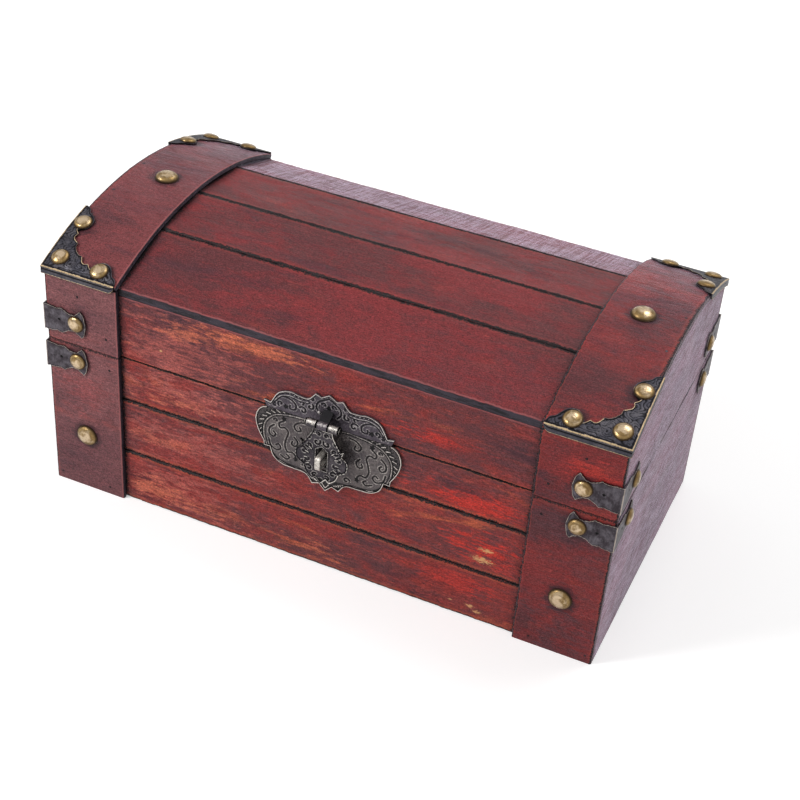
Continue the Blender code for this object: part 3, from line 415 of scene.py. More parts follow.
def stained_wood(
    name, axis, tones, wall, seed, strap_ink=0.0, saw=0.0, flames=0.5, smudges=0.6, grain=0.6, swirls=0.0,
    face=-BOARD_FACE, patches=(), scars=(), sheen=0.0,
):
    """Red stain over grain, with black ragged ink at the lips. Tones are dark, body, light and flame.

    Broad clouds go from dark to body, short fibres lift to light, flames are the brightest patches,
    swirls are long wavy dark lines, and bluish smudges, pores and specks lie over them. Patches are
    soft fibrous stains and scars are small pale chips, each at (x, z) with its length and height.
    Sheen is the pale bluish gloss that shows where the board is seen at a shallow angle.
    """
    wood = Finish(name)
    plus, times, step, mix, shaded = wood.plus, wood.times, wood.step, wood.mix, wood.shaded
    dark, body, light, flame = (colour(*tone) for tone in tones)
    shift = (seed * 13.7, seed * 7.3, seed * 3.1)

    def grained(along, across, detail, roughness=0.55, distortion=0.0, shift=shift, turn=(0, 0, 0)):
        """Noise stretched along the board's own axis."""
        scale = tuple(along if own == axis else across for own in "xyz")
        return wood.noise(wood.place(scale, turn, shift), detail, roughness, distortion)

    clouds = grained(0.012, 0.026, 3, 0.6, 0.4)
    mottles = grained(0.07, 0.17, 6, 0.65, 0.9)
    streaks = grained(0.11, 0.62, 5, 0.72, 0.5)
    pores = grained(0.55, 2.0, 3, 0.75)
    specks = grained(1.6, 1.6, 3, 0.75)
    smears = grained(0.016, 0.06, 5, 0.62, 0.7, (9 + seed, 4, 2))

    mood = plus(clouds, step(mottles, 0.3, 0.7, -0.07, 0.07))
    tone = mix(step(mood, 0.38, 0.62), dark, body)
    tone = mix(step(streaks, 0.48, 0.68, 0, grain), tone, light)
    tone = mix(step(streaks, 0.46, 0.32, 0, 0.7 * grain), tone, dark)
    if swirls:
        bands = wood.maths("SINE", times(grained(0.02, 0.28, 2, 0.4, 1.6), 46.0))
        there = times(step(clouds, 0.5, 0.62, 0.1, swirls), step(bands, 0.1, 0.9))
        tone = mix(there, tone, colour(58, 26, 34))
    fire = times(step(smears, 0.44, 0.33), step(streaks, 0.36, 0.56, 0.25, 1))
    tone = mix(times(fire, step(mottles, 0.38, 0.6, 0.3, flames)), tone, flame)
    tone = mix(step(smears, 0.54, 0.7, 0, smudges), tone, colour(52, 32, 44))
    loose = plus(step(mottles, 0.3, 0.7, -0.45, 0.45), step(streaks, 0.3, 0.7, 0.7, -0.7))
    for *where, stain, strength in patches:
        tone = mix(step(plus(wood.spot(*where, face), loose), 1.1, 0.0, 0, strength), tone, stain)
    tone = shaded(tone, step(pores, 0.3, 0.68, 0.64, 1.3))
    tone = shaded(tone, step(specks, 0.3, 0.7, 0.54, 1.46))
    fibres = step(pores, 0.34, 0.64, -0.6, 0.6)
    for where in scars:
        tone = mix(step(plus(wood.spot(*where, face), fibres), 1.1, 0.5, 0, 0.9), tone, colour(216, 164, 112))

    # Ink at the lips with warm lines beside it, pale lines along sides without ink, both partly wear and
    # partly painted highlight, and painted shade round the tack heads
    ragged = plus(wood.value("edge"), step(specks, 0.3, 0.7, -0.6, 0.6))
    warm = times(step(ragged, 0.3, 0.9), step(ragged, 2.0, 1.0))
    tone = mix(times(warm, 0.3), tone, flame)
    # Painted shade round the tack heads, fainter round the nail heads
    halo = plus(wood.value("halo"), step(mottles, 0.3, 0.7, -1.6, 1.6))
    tone = mix(step(halo, 4.5, 0.2, 0, 0.75), tone, colour(40, 20, 28))
    # A pale pink line along each side without ink: partly wear, partly painted highlight
    rubbed_and_lit = plus(wood.value("rub"), step(pores, 0.3, 0.7, -0.3, 0.3))
    tone = mix(step(rubbed_and_lit, 0.8, 0.2, 0, 0.45), tone, colour(176, 104, 104))
    black = step(ragged, 0.75, 0.2)
    if strap_ink:
        x = wood.add("ShaderNodeSeparateXYZ", {"Vector": wood.place()}).outputs["X"]
        clear = wood.maths("SUBTRACT", STRAP_INNER_X, wood.maths("ABSOLUTE", x))
        bleed = wood.noise(wood.place((1.4, 0.7, 0.7), shift=shift), detail=4, roughness=0.85)
        clear = plus(clear, step(bleed, 0.36, 0.64, -strap_ink, strap_ink))
        black = wood.maths("MAXIMUM", black, step(clear, 1.1, 0.5))
        # Beside the black line, the planks also turn darker within 6 mm of a strap's inner edge
        tone = mix(step(clear, 6.0, 0.5, 0, 0.4), tone, colour(50, 24, 30))
    wall_tone = mix(step(streaks, 0.35, 0.6), colour(20, 17, 22), wall)
    wall_tone = mix(step(specks, 0.58, 0.7, 0, 0.4), wall_tone, colour(104, 90, 104))
    tone = mix(wood.value("side"), tone, wall_tone)
    # The grey specks in the black ink are painted glints
    tone = mix(black, tone, mix(step(specks, 0.6, 0.72, 0, 0.6), colour(8, 6, 8), colour(118, 104, 112)))

    # Bare wood inside
    bare = mix(step(streaks, 0.35, 0.65), colour(92, 46, 38), colour(138, 80, 62))
    bare = shaded(bare, step(pores, 0.3, 0.68, 0.75, 1.2))
    tone = mix(step(wood.value("inside"), 0.4, 0.9), tone, bare)

    relief = plus(streaks, times(pores, 0.5))
    gloss = plus(specks, streaks)
    if saw:
        marks = grained(1.0, 0.03, 2, shift=(0, 0, 0), turn=(0, 0, 0.1))
        relief = plus(relief, times(marks, saw))
        tone = mix(step(marks, 0.44, 0.3, 0, 0.45), tone, dark)
        gloss = plus(gloss, step(marks, 0.3, 0.7, -0.12, 0.12))
    return wood.shade(
        {
            "Base Color": tone,
            "Roughness": step(mottles, 0.35, 0.7, 0.42, 0.6),
            "Specular IOR Level": 0.2,
            "Sheen Weight": step(gloss, 0.8, 1.2, 0.2 * sheen, 1.8 * sheen) if sheen else 0.0,
            "Sheen Roughness": 0.35,
            "Sheen Tint": (0.86, 0.76, 0.96, 1.0),
            "Normal": wood.bump(relief, 0.3),
        }
    )


def aged_metal(name, recess, field, raised, patina_tone, rough=0.45, metallic=0.8, brush=(1.3, 1.3, 1.3)):
    """Dark stamped sheet: the value relief goes from recess (-1) over field (0) to bright raised (1)."""
    metal = Finish(name)
    step, mix = metal.step, metal.mix
    relief = metal.value("relief")
    patina = metal.noise(metal.place((0.16, 0.16, 0.16)), detail=6, roughness=0.7)
    grit = metal.noise(metal.place(brush), detail=4, roughness=0.7)
    tone = mix(step(patina, 0.38, 0.66), colour(*field), colour(*patina_tone))
    tone = metal.shaded(tone, step(grit, 0.3, 0.7, 0.66, 1.34))
    tone = mix(step(relief, -0.1, -0.8), tone, colour(*recess))
    bright = metal.plus(relief, step(grit, 0.3, 0.7, -0.2, 0.2))
    return metal.shade(
        {
            "Base Color": mix(step(bright, 0.3, 0.95), tone, colour(*raised)),
            "Metallic": metallic,
            "Roughness": step(grit, 0.3, 0.7, rough - 0.1, rough + 0.15),
            "Specular IOR Level": 0.3,
            "Normal": metal.bump(grit, 0.08),
        }
    )


def antique_brass(name):
    """Brass, mottled brown and scratched, whose pale crown is partly wear and partly a painted highlight, and
    whose dark ring and rim are painted reflections.
    """
    brass = Finish(name)
    step, mix = brass.step, brass.mix
    rim = brass.value("rim")
    patina = brass.noise(brass.place((0.26, 0.26, 0.26)), roughness=0.6, distortion=0.6)
    scratches = brass.noise(brass.place((0.5, 2.2, 1.4), turn=(0.5, 0.4, 0.7)), detail=4, roughness=0.7)
    worn = brass.plus(rim, step(patina, 0.3, 0.7, -0.35, 0.35))
    # Pale crown to olive: partly wear, partly painted highlight
    tone = mix(step(worn, 0.0, 0.6), colour(192, 170, 140), colour(136, 112, 72))
    ring = brass.maths("ABSOLUTE", brass.maths("SUBTRACT", rim, 0.42))
    # Dark ring: painted reflection
    tone = mix(step(ring, 0.12, 0.0, 0, 0.45), tone, colour(84, 64, 40))
    tone = mix(step(patina, 0.5, 0.7, 0, 0.5), tone, colour(98, 74, 46))
    # Dark rim: painted reflection of the dark wood round the head
    tone = mix(step(rim, 0.55, 1.0), tone, colour(58, 44, 32))
    return brass.shade(
        {
            "Base Color": brass.shaded(tone, step(scratches, 0.3, 0.7, 0.88, 1.12)),
            "Metallic": 0.9,
            "Roughness": step(worn, 0.1, 1.0, 0.22, 0.45),
            "Normal": brass.bump(patina, 0.25),
        }
    )


SLATE = colour(56, 49, 58)
DARK_WALL = colour(52, 42, 52)
BARE_WALL = colour(120, 84, 60)
ORANGE = colour(200, 106, 76)
SCARLET = colour(192, 48, 38)
ROSE = colour(176, 92, 84)
SHADE = colour(80, 42, 48)
FRONT_PATCHES = (
    (-76, 100, 72, 48, ROSE, 0.55), (-72, 76, 84, 22, ROSE, 0.55), (-74, 47, 84, 28, ROSE, 0.55),
    (-80, 14, 76, 30, ROSE, 0.55), (-38, 119.5, 64, 8, ORANGE, 0.75), (-71, 115, 36, 10, ORANGE, 0.55),
    (-90, 12, 46, 15, ORANGE, 0.55), (-50, 11, 50, 9, ORANGE, 0.4), (-80, 72, 46, 11, ORANGE, 0.4),
    (-88, 45, 40, 9, ORANGE, 0.3), (62, 101, 48, 9, SCARLET, 0.75), (82, 71, 58, 14, SCARLET, 0.85),
    (92, 46, 42, 20, SCARLET, 0.85), (76, 20, 50, 14, SCARLET, 0.6), (0, 9, 26, 10, ORANGE, 0.6),
    (88, 98, 54, 12, SHADE, 0.6), (78, 112, 60, 14, SHADE, 0.3),
)
FRONT_SCARS = (
    (90.6, 45.3, 7.5, 2.4), (88.8, 38.9, 10, 3.6), (85.5, 7.7, 4.6, 2.0), (89.2, 5.4, 4.6, 1.8),
    (-86.2, 100.3, 1.3, 1.1), (75.0, 7.5, 2.6, 1.1),
)
FRONT_WOOD = stained_wood(
    "front_wood", "x", ((98, 50, 53), (140, 50, 46), (168, 70, 60), (206, 104, 66)), SLATE, 9,
    strap_ink=1.1, swirls=0.6, patches=FRONT_PATCHES, scars=FRONT_SCARS,
)
ROOF_WOOD = stained_wood(
    "roof_wood", "x", ((88, 40, 43), (118, 42, 45), (136, 58, 58), (158, 64, 56)), SLATE, 2,
    strap_ink=1.1, flames=0.35, grain=0.3, smudges=0.45, face=-57.0,
    patches=((76, 133, 120, 14, SHADE, 0.4), (-96, 134, 60, 12, SHADE, 0.35), (-60, 139, 90, 10, SHADE, 0.2)),
)
BACK_ROOF_WOOD = stained_wood(
    "back_roof_wood", "x", ((92, 42, 48), (118, 52, 58), (140, 74, 80), (146, 70, 72)), SLATE, 3,
    strap_ink=1.1, saw=0.8, flames=0.3, smudges=0.3, grain=0.4, sheen=0.75,
)
STRAP_WOOD = stained_wood(
    "strap_wood", "x", ((82, 36, 40), (120, 40, 40), (140, 52, 48), (168, 66, 52)), DARK_WALL, 4,
    flames=0.3, grain=0.22, face=-STRAP_FACE, sheen=0.3,
    patches=(
        (133, 111, 36, 17, SCARLET, 0.5), (116, 114, 16, 24, SHADE, 0.35), (122, 82, 46, 22, SHADE, 0.65),
        (134, 14, 48, 34, SHADE, 0.7), (138, 58, 30, 36, SHADE, 0.45), (136, 96, 36, 10, SHADE, 0.4),
    ),
)
# Strap wood for the left upright strips, with the reflection of the light from the left painted into its
# mauve tones
LIT_LEFT_STRAP_WOOD = stained_wood(
    "lit_left_strap_wood", "x", ((104, 62, 66), (123, 75, 77), (136, 86, 85), (158, 72, 64)), DARK_WALL, 5,
    flames=0.3, smudges=0.35, grain=0.22, face=-STRAP_FACE,
    patches=((-128, 62, 36, 30, SCARLET, 0.15), (-116, 56, 16, 70, SHADE, 0.25)),
)
LEFT_TOP_WOOD = stained_wood(
    "left_top_wood", "x", ((84, 40, 44), (112, 52, 54), (126, 64, 64), (150, 62, 55)), DARK_WALL, 8,
    flames=0.3, smudges=0.5, grain=0.22, sheen=0.3,
)
# End boards: red stain, with the pale bluish reflection seen at a shallow angle partly painted into the
# tones, which makes them mauve
END_WOOD = stained_wood(
    "end_wood", "y", ((96, 56, 68), (130, 80, 94), (154, 106, 122), (146, 78, 88)), SLATE, 6,
    flames=0.2, smudges=0.35, grain=0.5, sheen=0.6,
)
INNER_WOOD = stained_wood(
    "inner_wood", "x", ((128, 84, 58), (158, 112, 78), (182, 136, 98), (190, 140, 100)), BARE_WALL, 7,
    flames=0.2, smudges=0.1,
)
PLATE_METAL = aged_metal(
    "plate_metal", (10, 9, 11), (78, 72, 74), (212, 204, 196), (100, 93, 92), metallic=0.5
)
LID_PLATE_METAL = aged_metal(
    "lid_plate_metal", (10, 9, 12), (68, 61, 69), (206, 200, 196), (88, 81, 88), metallic=0.5
)
HASP_METAL = aged_metal("hasp_metal", (10, 9, 11), (52, 48, 53), (206, 200, 192), (76, 71, 75), rough=0.34)
CORNER_METAL = aged_metal("corner_metal", (16, 15, 19), (60, 59, 67), (186, 162, 126), (84, 81, 86))
BRACKET_METAL = aged_metal(
    "bracket_metal", (14, 12, 14), (52, 46, 51), (168, 156, 146), (92, 87, 93), brush=(0.9, 0.9, 0.25)
)
STEEL = aged_metal("steel", (30, 28, 28), (120, 114, 108), (214, 208, 200), (140, 130, 118), rough=0.36)
BRASS = antique_brass("brass")


# Boards


def board(name, finish, body, node, path, across, outward, width, slot="stained_wood", **shape):
    """A plank as a piece of its own, in place of its solid."""
    make_piece(name, [plank(path, across, outward, width, **shape)], finish, body, [node])


def front_line(low, high, facing):
    """Lower edge of a front or back board's face."""
    return line((low[0], facing * BOARD_FACE, low[2]), (high[0], facing * BOARD_FACE, low[2]))


def end_line(low, high, facing):
    """Lower edge of an end board's face."""
    return line((facing * HALF_LENGTH, low[1], low[2]), (facing * HALF_LENGTH, high[1], low[2]))


def base_boards():
    """Three planks at the front and at the back, an end board at each side, and the bottom."""
    for end, facing in ENDS:
        for number, level in enumerate(("lower", "middle", "upper")):
            node = f"base_{end}_plank_{level}"
            low, high = span(node)
            lip, ink = ((0.7, 0.35), (1, 0.4)) if level == "upper" else ((0.7, 0.7), (1, 1))
            board(
                f"{end}_board_{level}", FRONT_WOOD, "base", node, front_line(low, high, facing), UP,
                (0, facing, 0), high[2] - low[2], lip=lip, ink=ink, seed=10 * number + 3 + facing,
            )
    for side, facing in SIDES:
        node = f"base_end_{side}"
        low, high = span(node)
        board(
            f"end_board_{side}", END_WOOD, "base", node, end_line(low, high, facing), UP, (facing, 0, 0),
            high[2] - low[2], ink=(0.6, 0.2), seed=3, **END_SHAPE,
        )
    low, high = span("base_bottom")
    front_edge = line((low[0], low[1], high[2]), (high[0], low[1], high[2]), 4)
    board(
        "bottom_board", INNER_WOOD, "base", "base_bottom", front_edge, (0, 1, 0), UP, high[1] - low[1],
        "plain_wood", thickness=high[2] - low[2], lip=(0.4, 0.4), ink=(0, 0), drop=0.4, ragged=0.1,
    )


def lid_boards():
    """Rails whose tops slope under the roof, arched ends, and the roof's planks from front to back."""
    under_roof = ROOF_CORNERS[0, 1] - ROOF_EDGE / math.cos(ROOF_SLOPE) - 0.2
    for end, facing in ENDS:
        node = f"lid_{end}_rail"
        low, high = span(node)
        board(
            f"{end}_rail", FRONT_WOOD, "lid", node, front_line(low, high, facing), UP, (0, facing, 0),
            under_roof - low[2], lip=(0.35, 0.2), ink=(0.4, 0), drop=0.5, seed=31, ragged=0.12,
            under=(0, under_roof - high[2]),
        )
    for side, facing in SIDES:
        node = f"lid_end_{side}"
        low, high = span(node)
        path = end_line(low, high, facing)
        tall = arch_z(ARCH_RADIUS - STRAP_THICKNESS - SEAT_GAP, path[:, 1]) - low[2]
        board(
            f"lid_end_board_{side}", END_WOOD, "lid", node, path, UP, (facing, 0, 0), tall,
            ink=(0.2, 1.6), seed=5, **END_SHAPE,
        )
    slope = ROOF_EDGE * math.tan(ROOF_SLOPE)
    for number, place in enumerate(("front", "front_crown", "back_crown", "back")):
        node = f"lid_plank_{place}"
        low, high = span(node)
        near, far = ROOF_CORNERS[number], ROOF_CORNERS[number + 1]
        along = (far - near) / np.linalg.norm(far - near)
        outer = (number == 0, number == 3)
        board(
            f"roof_board_{place}", BACK_ROOF_WOOD if outer[1] else ROOF_WOOD, "lid", node,
            line((low[0], *near), (high[0], *near)), (0, *along), (0, -along[1], along[0]),
            np.linalg.norm(far - near) - SEAT_GAP, thickness=ROOF_EDGE if any(outer) else ROOF_THICKNESS,
            seed=60 + 7 * number, lip=[0.5 if own else 0.8 for own in outer],
            ink=[0 if own else 1.1 for own in outer], under=[-slope if own else 0.5 for own in outer],
            ragged=0.28,
        )


def on_arch(x, y, radius=ARCH_RADIUS):
    """A point on the lid's arch."""
    return (x, y, float(arch_z(radius, y)))


def arch_normal(y, radius):
    """The way straight out of the arch: from its centre to the point at depth y."""
    return (0, y, float(arch_z(radius, y)) - ARCH_CENTRE_Z)


def straps():
    """Upright strips on the base and the lid, and one strip bent over the top at each end."""
    for side, facing in SIDES:
        inner, across = facing * STRAP_INNER_X, (facing, 0, 0)
        upright, bent, torn = STRAP_WOOD, STRAP_WOOD, 0.45
        if side == "left":
            # The left upright strips take the strap wood with the painted reflection
            upright, bent, torn = LIT_LEFT_STRAP_WOOD, LEFT_TOP_WOOD, 0
        shape = {"thickness": STRAP_THICKNESS, "lip": (0.5, 0.5), "drop": 0.5, "bow": 0.04, "cells": 18}
        shape["ragged"] = 0.12 + torn / 3
        for end, front in ENDS:
            y = front * STRAP_FACE
            for body, seed, ends in (("base", 20, (0, 1.5)), ("lid", 109, (0.5, 0.6))):
                node = f"{body}_strap_{end}_{side}"
                low, high = span(node)
                spots = [(facing * BRACKET_TACK_X, y, BRACKET_HEIGHTS[body], SMALL_HALO)]
                if body == "base":
                    spots.append((facing * STRAP_TACK[0], y, STRAP_TACK[1], STRAP_HALO))
                spots += [(facing * x, y, z, NAIL_HALO) for own, x, z in STRAP_NAILS if own == body]
                path = line((inner, y, low[2]), (inner, y, high[2]))
                board(
                    f"{body}_strip_{end}_{side}", upright, body, node, path, across, (0, front, 0),
                    STRAP_WIDTH, ink=(torn, 0.7), seed=seed + 3 * facing, spots=spots, ends=ends, **shape,
                )
        y = np.linspace(-STRAP_FACE, STRAP_FACE, 110)
        path = np.stack([np.full_like(y, inner), y, arch_z(ARCH_RADIUS, y)], -1)
        outward = np.stack([np.zeros_like(y), y, path[:, 2] - ARCH_CENTRE_Z], -1)
        outward /= np.linalg.norm(outward, axis=1)[:, None]
        spots = [(facing * TOP_TACK[0], 0, TOP_TACK[1], TOP_HALO)]
        spots += [(*on_arch(facing * x, front * y), SMALL_HALO) for x, y in CORNER_TACKS for front in (-1, 1)]
        spots += [(*on_arch(facing * x, y), NAIL_HALO) for x, y in TOP_NAILS]
        board(
            f"top_strip_{side}", bent, "lid", f"lid_strap_top_{side}", path, across, outward, STRAP_WIDTH,
            ink=(torn, 1.3), seed=80 + facing, spots=spots, **shape,
        )


def nails():
    """Small nail heads, a hair below the wood's face, in the straps."""
    head = [(POLE, 0.06), (0.45, 0.05), (0.7, 0.0), (0.7, -0.3), (POLE, -0.3)]
    for side, facing in SIDES:
        for body in ("base", "lid"):
            shells = []
            for _, front in ENDS:
                for number, (own, x, z) in enumerate(STRAP_NAILS):
                    if own == body:
                        shell = turned(head, 12, {"relief": [-0.4, -0.6, -1, -1, -1]}, 0.05, number)
                        shells.append(seated(shell, (facing * x, front * STRAP_FACE, z), (0, front, 0)))
            for number, (x, y) in enumerate(TOP_NAILS if body == "lid" else ()):
                shell = turned(head, 12, {"relief": [0.2, 0, -1, -1, -1]}, 0.05, number)
                shells.append(seated(shell, on_arch(facing * x, y), arch_normal(y, ARCH_RADIUS)))
            make_piece(f"{body}_strap_nails_{side}", shells, BRACKET_METAL, body)


# Metal corners and brackets

CORNER_LEG = 41.0
CORNER_LIP_SECTION = (
    (0.25, 0.7, 0.1), (0.7, 0.3, 0.15), (1.1, 0.1, 0.1), (1.35, -1.0, -0.05), (1.7, -0.8, 0.0),
    (2.4, -0.1, 0.1), (3.2, -0.1, 0.1), (3.6, -0.5, 0.05), (3.85, 0.75, 0.2), (4.2, 0.6, 0.1),
)
CORNER_SHARES = (
    (1, 0.03, SHARP), (0.97, 0.09), (0.91, 0.125), (0.85, 0.21), (0.79, 0.252), (0.71, 0.258),
    (0.65, 0.222, SHARP), (0.622, 0.125, SHARP), (0.59, 0.14), (0.546, 0.188, SHARP), (0.5, 0.172),
    (0.46, 0.19), (0.415, 0.262, SHARP), (0.365, 0.268), (0.312, 0.305),
)


def smooth_line(points, step=0.35):
    """A smooth line through points: each stretch is a cubic from its four nearest points."""
    points = np.asarray(points, float)
    around = np.concatenate([points[:1], points, points[-1:]])
    parts = []
    for before, start, end, after in zip(around, around[1:], around[2:], around[3:]):
        count = max(2, int(np.linalg.norm(end - start) / step) + 1)
        t = np.linspace(0, 1, count, endpoint=False)[:, None]
        square, cube = 2 * before - 5 * start + 4 * end - after, 3 * start - before - 3 * end + after
        parts.append(0.5 * (2 * start + (end - before) * t + square * t**2 + cube * t**3))
    return np.concatenate(parts + [points[-1:]])


def even_line(points, step=0.3):
    """The same polyline with points a step apart."""
    points = np.asarray(points, float)
    lengths = travelled(points)
    at = np.linspace(0, lengths[-1], max(2, int(lengths[-1] / step) + 1))
    return np.stack([np.interp(at, lengths, points[:, k]) for k in range(points.shape[1])], -1)


def away(u, v, curve):
    """Distance of each point (u, v) from the nearest point of a curve."""
    points = np.stack([np.ravel(u), np.ravel(v)], -1).astype(np.float32)
    curve = np.asarray(curve, np.float32)
    nearest = np.full(len(points), np.inf, np.float32)
    for part in np.array_split(curve, max(1, len(curve) // 40)):
        gap = np.linalg.norm(points[:, None] - part[None], axis=2)
        nearest = np.minimum(nearest, gap.min(axis=1))
    return nearest.reshape(np.shape(u)).astype(float)


def between(first, second, share):
    """Rows of points from each point of one line to its partner on the other, at the given shares."""
    return first[:, None] * (1 - share)[None, :, None] + second[:, None] * share[None, :, None]


def ridge(distance, half_width):
    """A rounded ridge of height 1 along a line: 1 - (distance / half width)^2, and 0 beyond."""
    return np.clip(1 - (distance / half_width) ** 2, 0, 1)


def scrollwork(u, v, seed, pitch=2.6):
    """Curling tool marks: level lines of a few crossed sines, each line a ridge between hollows."""
    random = np.random.default_rng(seed)
    field = np.zeros(np.shape(u))
    for length in (7.0, 9.5, 13.0, 16.0):
        turn, start = random.uniform(0, 2 * math.pi, 2)
        swing = 1.4 * np.sin(2 * math.pi * (u * math.sin(turn) - v * math.cos(turn)) / (1.7 * length) + start)
        field += np.sin(2 * math.pi * (u * math.cos(turn) + v * math.sin(turn)) / length + start + swing)
    return np.cos(2 * math.pi * field * 2.2 / pitch)


def corner_plate(along_x, along_y):
    """A folded corner: each rib runs from the scalloped edge over the cap to the fold and down the lip.

    The cap lies on the arch with curling tool marks, and the rib comes back inside the sheet.
    """
    leg = even_line(traced(CORNER_SHARES) * CORNER_LEG, 0.45)
    foot = (leg[:, 0] - leg[-1, 0]) / (leg[0, 0] - leg[-1, 0]) * CORNER_LEG
    foot = np.maximum.accumulate(foot[::-1])[::-1]
    inner = np.concatenate([leg, leg[::-1, ::-1]])
    fold = np.concatenate([np.stack([foot, 0 * foot], -1), np.stack([0 * foot, foot], -1)[::-1]])
    rows = len(inner)
    share = np.concatenate([[0.0, 0.02, 0.04, 0.07], np.linspace(0.1, 0.95, 20), [0.98, 1.0]])
    cap = between(inner, fold, share)
    u, v = cap[..., 0], cap[..., 1]

    # Relief of the cap: a worn rim with a groove inside it, tool marks, and a bright crest at the fold
    rim = away(u, v, inner)
    crest = np.minimum(u, v)
    marks = scrollwork(u, v, 5)
    places, wear = (0.3, 0.6, 0.63, 0.74, 0.82, 1.0), (0.85, 0.85, 0.5, 0.5, -0.2, -0.2)
    worn = np.interp(leg[:, 0] / CORNER_LEG, places, wear)
    worn = np.concatenate([worn, worn[::-1]])[:, None]
    relief = np.where(rim < 0.3, worn, np.where(rim < 0.9, -0.9, 0.5 * marks - 0.25))
    relief = np.where(crest < 1.3, -0.75, relief)
    relief = np.where(crest < 0.5, 0.85, relief)
    rise = 0.12 * ridge(rim, 0.6) + 0.14 * marks * np.clip((rim - 0.6) / 1.2, 0, 1) * np.clip(crest / 2, 0, 1)
    x, y = METAL_SIDE - u, v - METAL_FRONT
    top = np.stack([x, y, arch_z(METAL_RADIUS, y) + rise], -1)

    # The lip: how far down, how bright and how far out its points lie
    down, lip_relief, bulge = np.transpose(CORNER_LIP_SECTION)
    lip = np.repeat(top[:, -1:], len(down), axis=1)
    front_half = np.arange(rows) < rows // 2
    lip[front_half, :, 1] -= bulge
    lip[~front_half, :, 0] += bulge
    reach = np.concatenate([foot, foot[::-1]])
    short = 1 - np.clip((reach - CORNER_LEG + 3.0) / 3.0, 0, 1) ** 2
    lip[..., 2] = top[:, -1:, 2] - down * (0.35 + 0.65 * short[:, None])
    back = np.repeat(lip[:, -1:], 2, axis=1)
    back[:, 1, 2] = top[:, -1, 2] - SHEET
    back[front_half, :, 1] += SHEET
    back[~front_half, :, 0] -= SHEET
    under = top[:, [len(share) // 2, 0]].copy()
    under[..., 2] -= SHEET
    rings = np.concatenate([top, lip, back, under], axis=1)
    lip_values = np.broadcast_to(lip_relief, (rows, len(down)))
    values = np.concatenate([relief, lip_values, np.full((rows, 4), -0.6)], axis=1)
    return loft(rings * (along_x, -along_y, 1), {"relief": values})


BRACKET_LEG = 24.0
BRACKET_HALF_HEIGHT = 7.8
BRACKET_HOLE = 9.0
BRACKET_HOLE_RADIUS = 0.75
BRACKET_UPPER = (
    (0, 0.88, SHARP), (0.2, 0.84), (0.3, 0.8), (0.45, 0.88, SHARP), (0.56, 0.68), (0.66, 0.6),
    (0.75, 0.62, SHARP), (0.82, 0.84), (0.88, 1.02, SHARP), (0.95, 0.74), (1, 0.1),
)
BRACKET_LOWER = (
    (0, 1.02, SHARP), (0.2, 0.98), (0.32, 0.9), (0.43, 0.98, SHARP), (0.55, 0.74), (0.64, 0.63),
    (0.74, 0.62, SHARP), (0.82, 0.76), (0.9, 0.96, SHARP), (0.96, 0.7), (1, 0.1),
)


def bracket(along_x, along_y, z):
    """A bracket: its section carried from one leg's tip round the corner to the other's.

    Each leg is a band with a shield at its end, a thin worn edge, and a nail hole in the band.
    """
    reach = np.linspace(0, BRACKET_LEG, 76)
    seed = int(z) + 3 * along_x + 2 * along_y
    edges = []
    for number, table in enumerate((BRACKET_UPPER, BRACKET_LOWER)):
        outline = traced(table, 8)
        half = np.interp(reach / BRACKET_LEG, outline[:, 0], outline[:, 1]) * BRACKET_HALF_HEIGHT
        wander = ripple(reach, seed + 20 * number, 0.14, (1.3, 2.1, 3.4))
        edges.append(half + np.minimum(1, half / 3) * wander)
    rim = np.array([0, 0.012, 0.025, 0.045])
    share = np.concatenate([rim, np.linspace(0.07, 0.93, 35), 1 - rim[::-1]])
    height = edges[0][:, None] * share - edges[1][:, None] * (1 - share)
    u = np.repeat(reach[:, None], len(share), axis=1)
    outline = np.concatenate([np.stack([reach, edges[0]], -1), np.stack([reach, -edges[1]], -1)[::-1]])
    edge = away(u, height, even_line(outline, 0.2))
    hole = np.hypot(u - BRACKET_HOLE, height)
    relief = np.where(edge < 0.28, 0.7, np.where(edge < 0.7, -0.45, 0.0))
    relief = np.where(hole < BRACKET_HOLE_RADIUS, -1.0, relief)
    relief = np.where((u < 0.4) & (edge > 0.28), 0.75, relief)
    rise = 0.06 * ridge(edge, 0.5) - 0.35 * ridge(hole, BRACKET_HOLE_RADIUS)
    front = np.stack([METAL_SIDE - u, -METAL_FRONT - rise, z + height], -1)
    side = np.stack([METAL_SIDE + rise, u - METAL_FRONT, z + height], -1)
    outer = np.concatenate([front[::-1], side[1:]])
    inner = outer[:, [-1, 0]].copy()
    rows = len(reach)
    inner[:rows, :, 1] += SHEET
    inner[rows - 1 :, :, 0] -= SHEET
    rings = np.concatenate([outer, inner], axis=1)
    values = np.concatenate([relief[::-1], relief[1:]])
    values = np.concatenate([values, np.zeros((len(rings), 2))], axis=1)
    return loft(rings * (along_x, -along_y, 1), {"relief": values})


def tack(radius, height, seed):
    """A domed tack with a small rim: r = 0.93 R sin(a), h = H (0.15 + 0.85 cos(a)) on the dome."""
    share = np.linspace(0.0, 1.0, 12)
    dome = [s * math.pi / 2 for s in share]
    profile = [(radius * 0.93 * math.sin(a), height * (0.15 + 0.85 * math.cos(a))) for a in dome]
    profile += [(radius, 0.12 * height), (radius, 0.0), (0.5 * radius, 0.0), (POLE, 0.0)]
    profile[0] = (POLE, height)
    rim = [*(0.9 * share), 1.1, 1.2, 1.2, 1.2]
    return turned(profile, 36, {"rim": rim}, wobble=0.012, seed=seed)


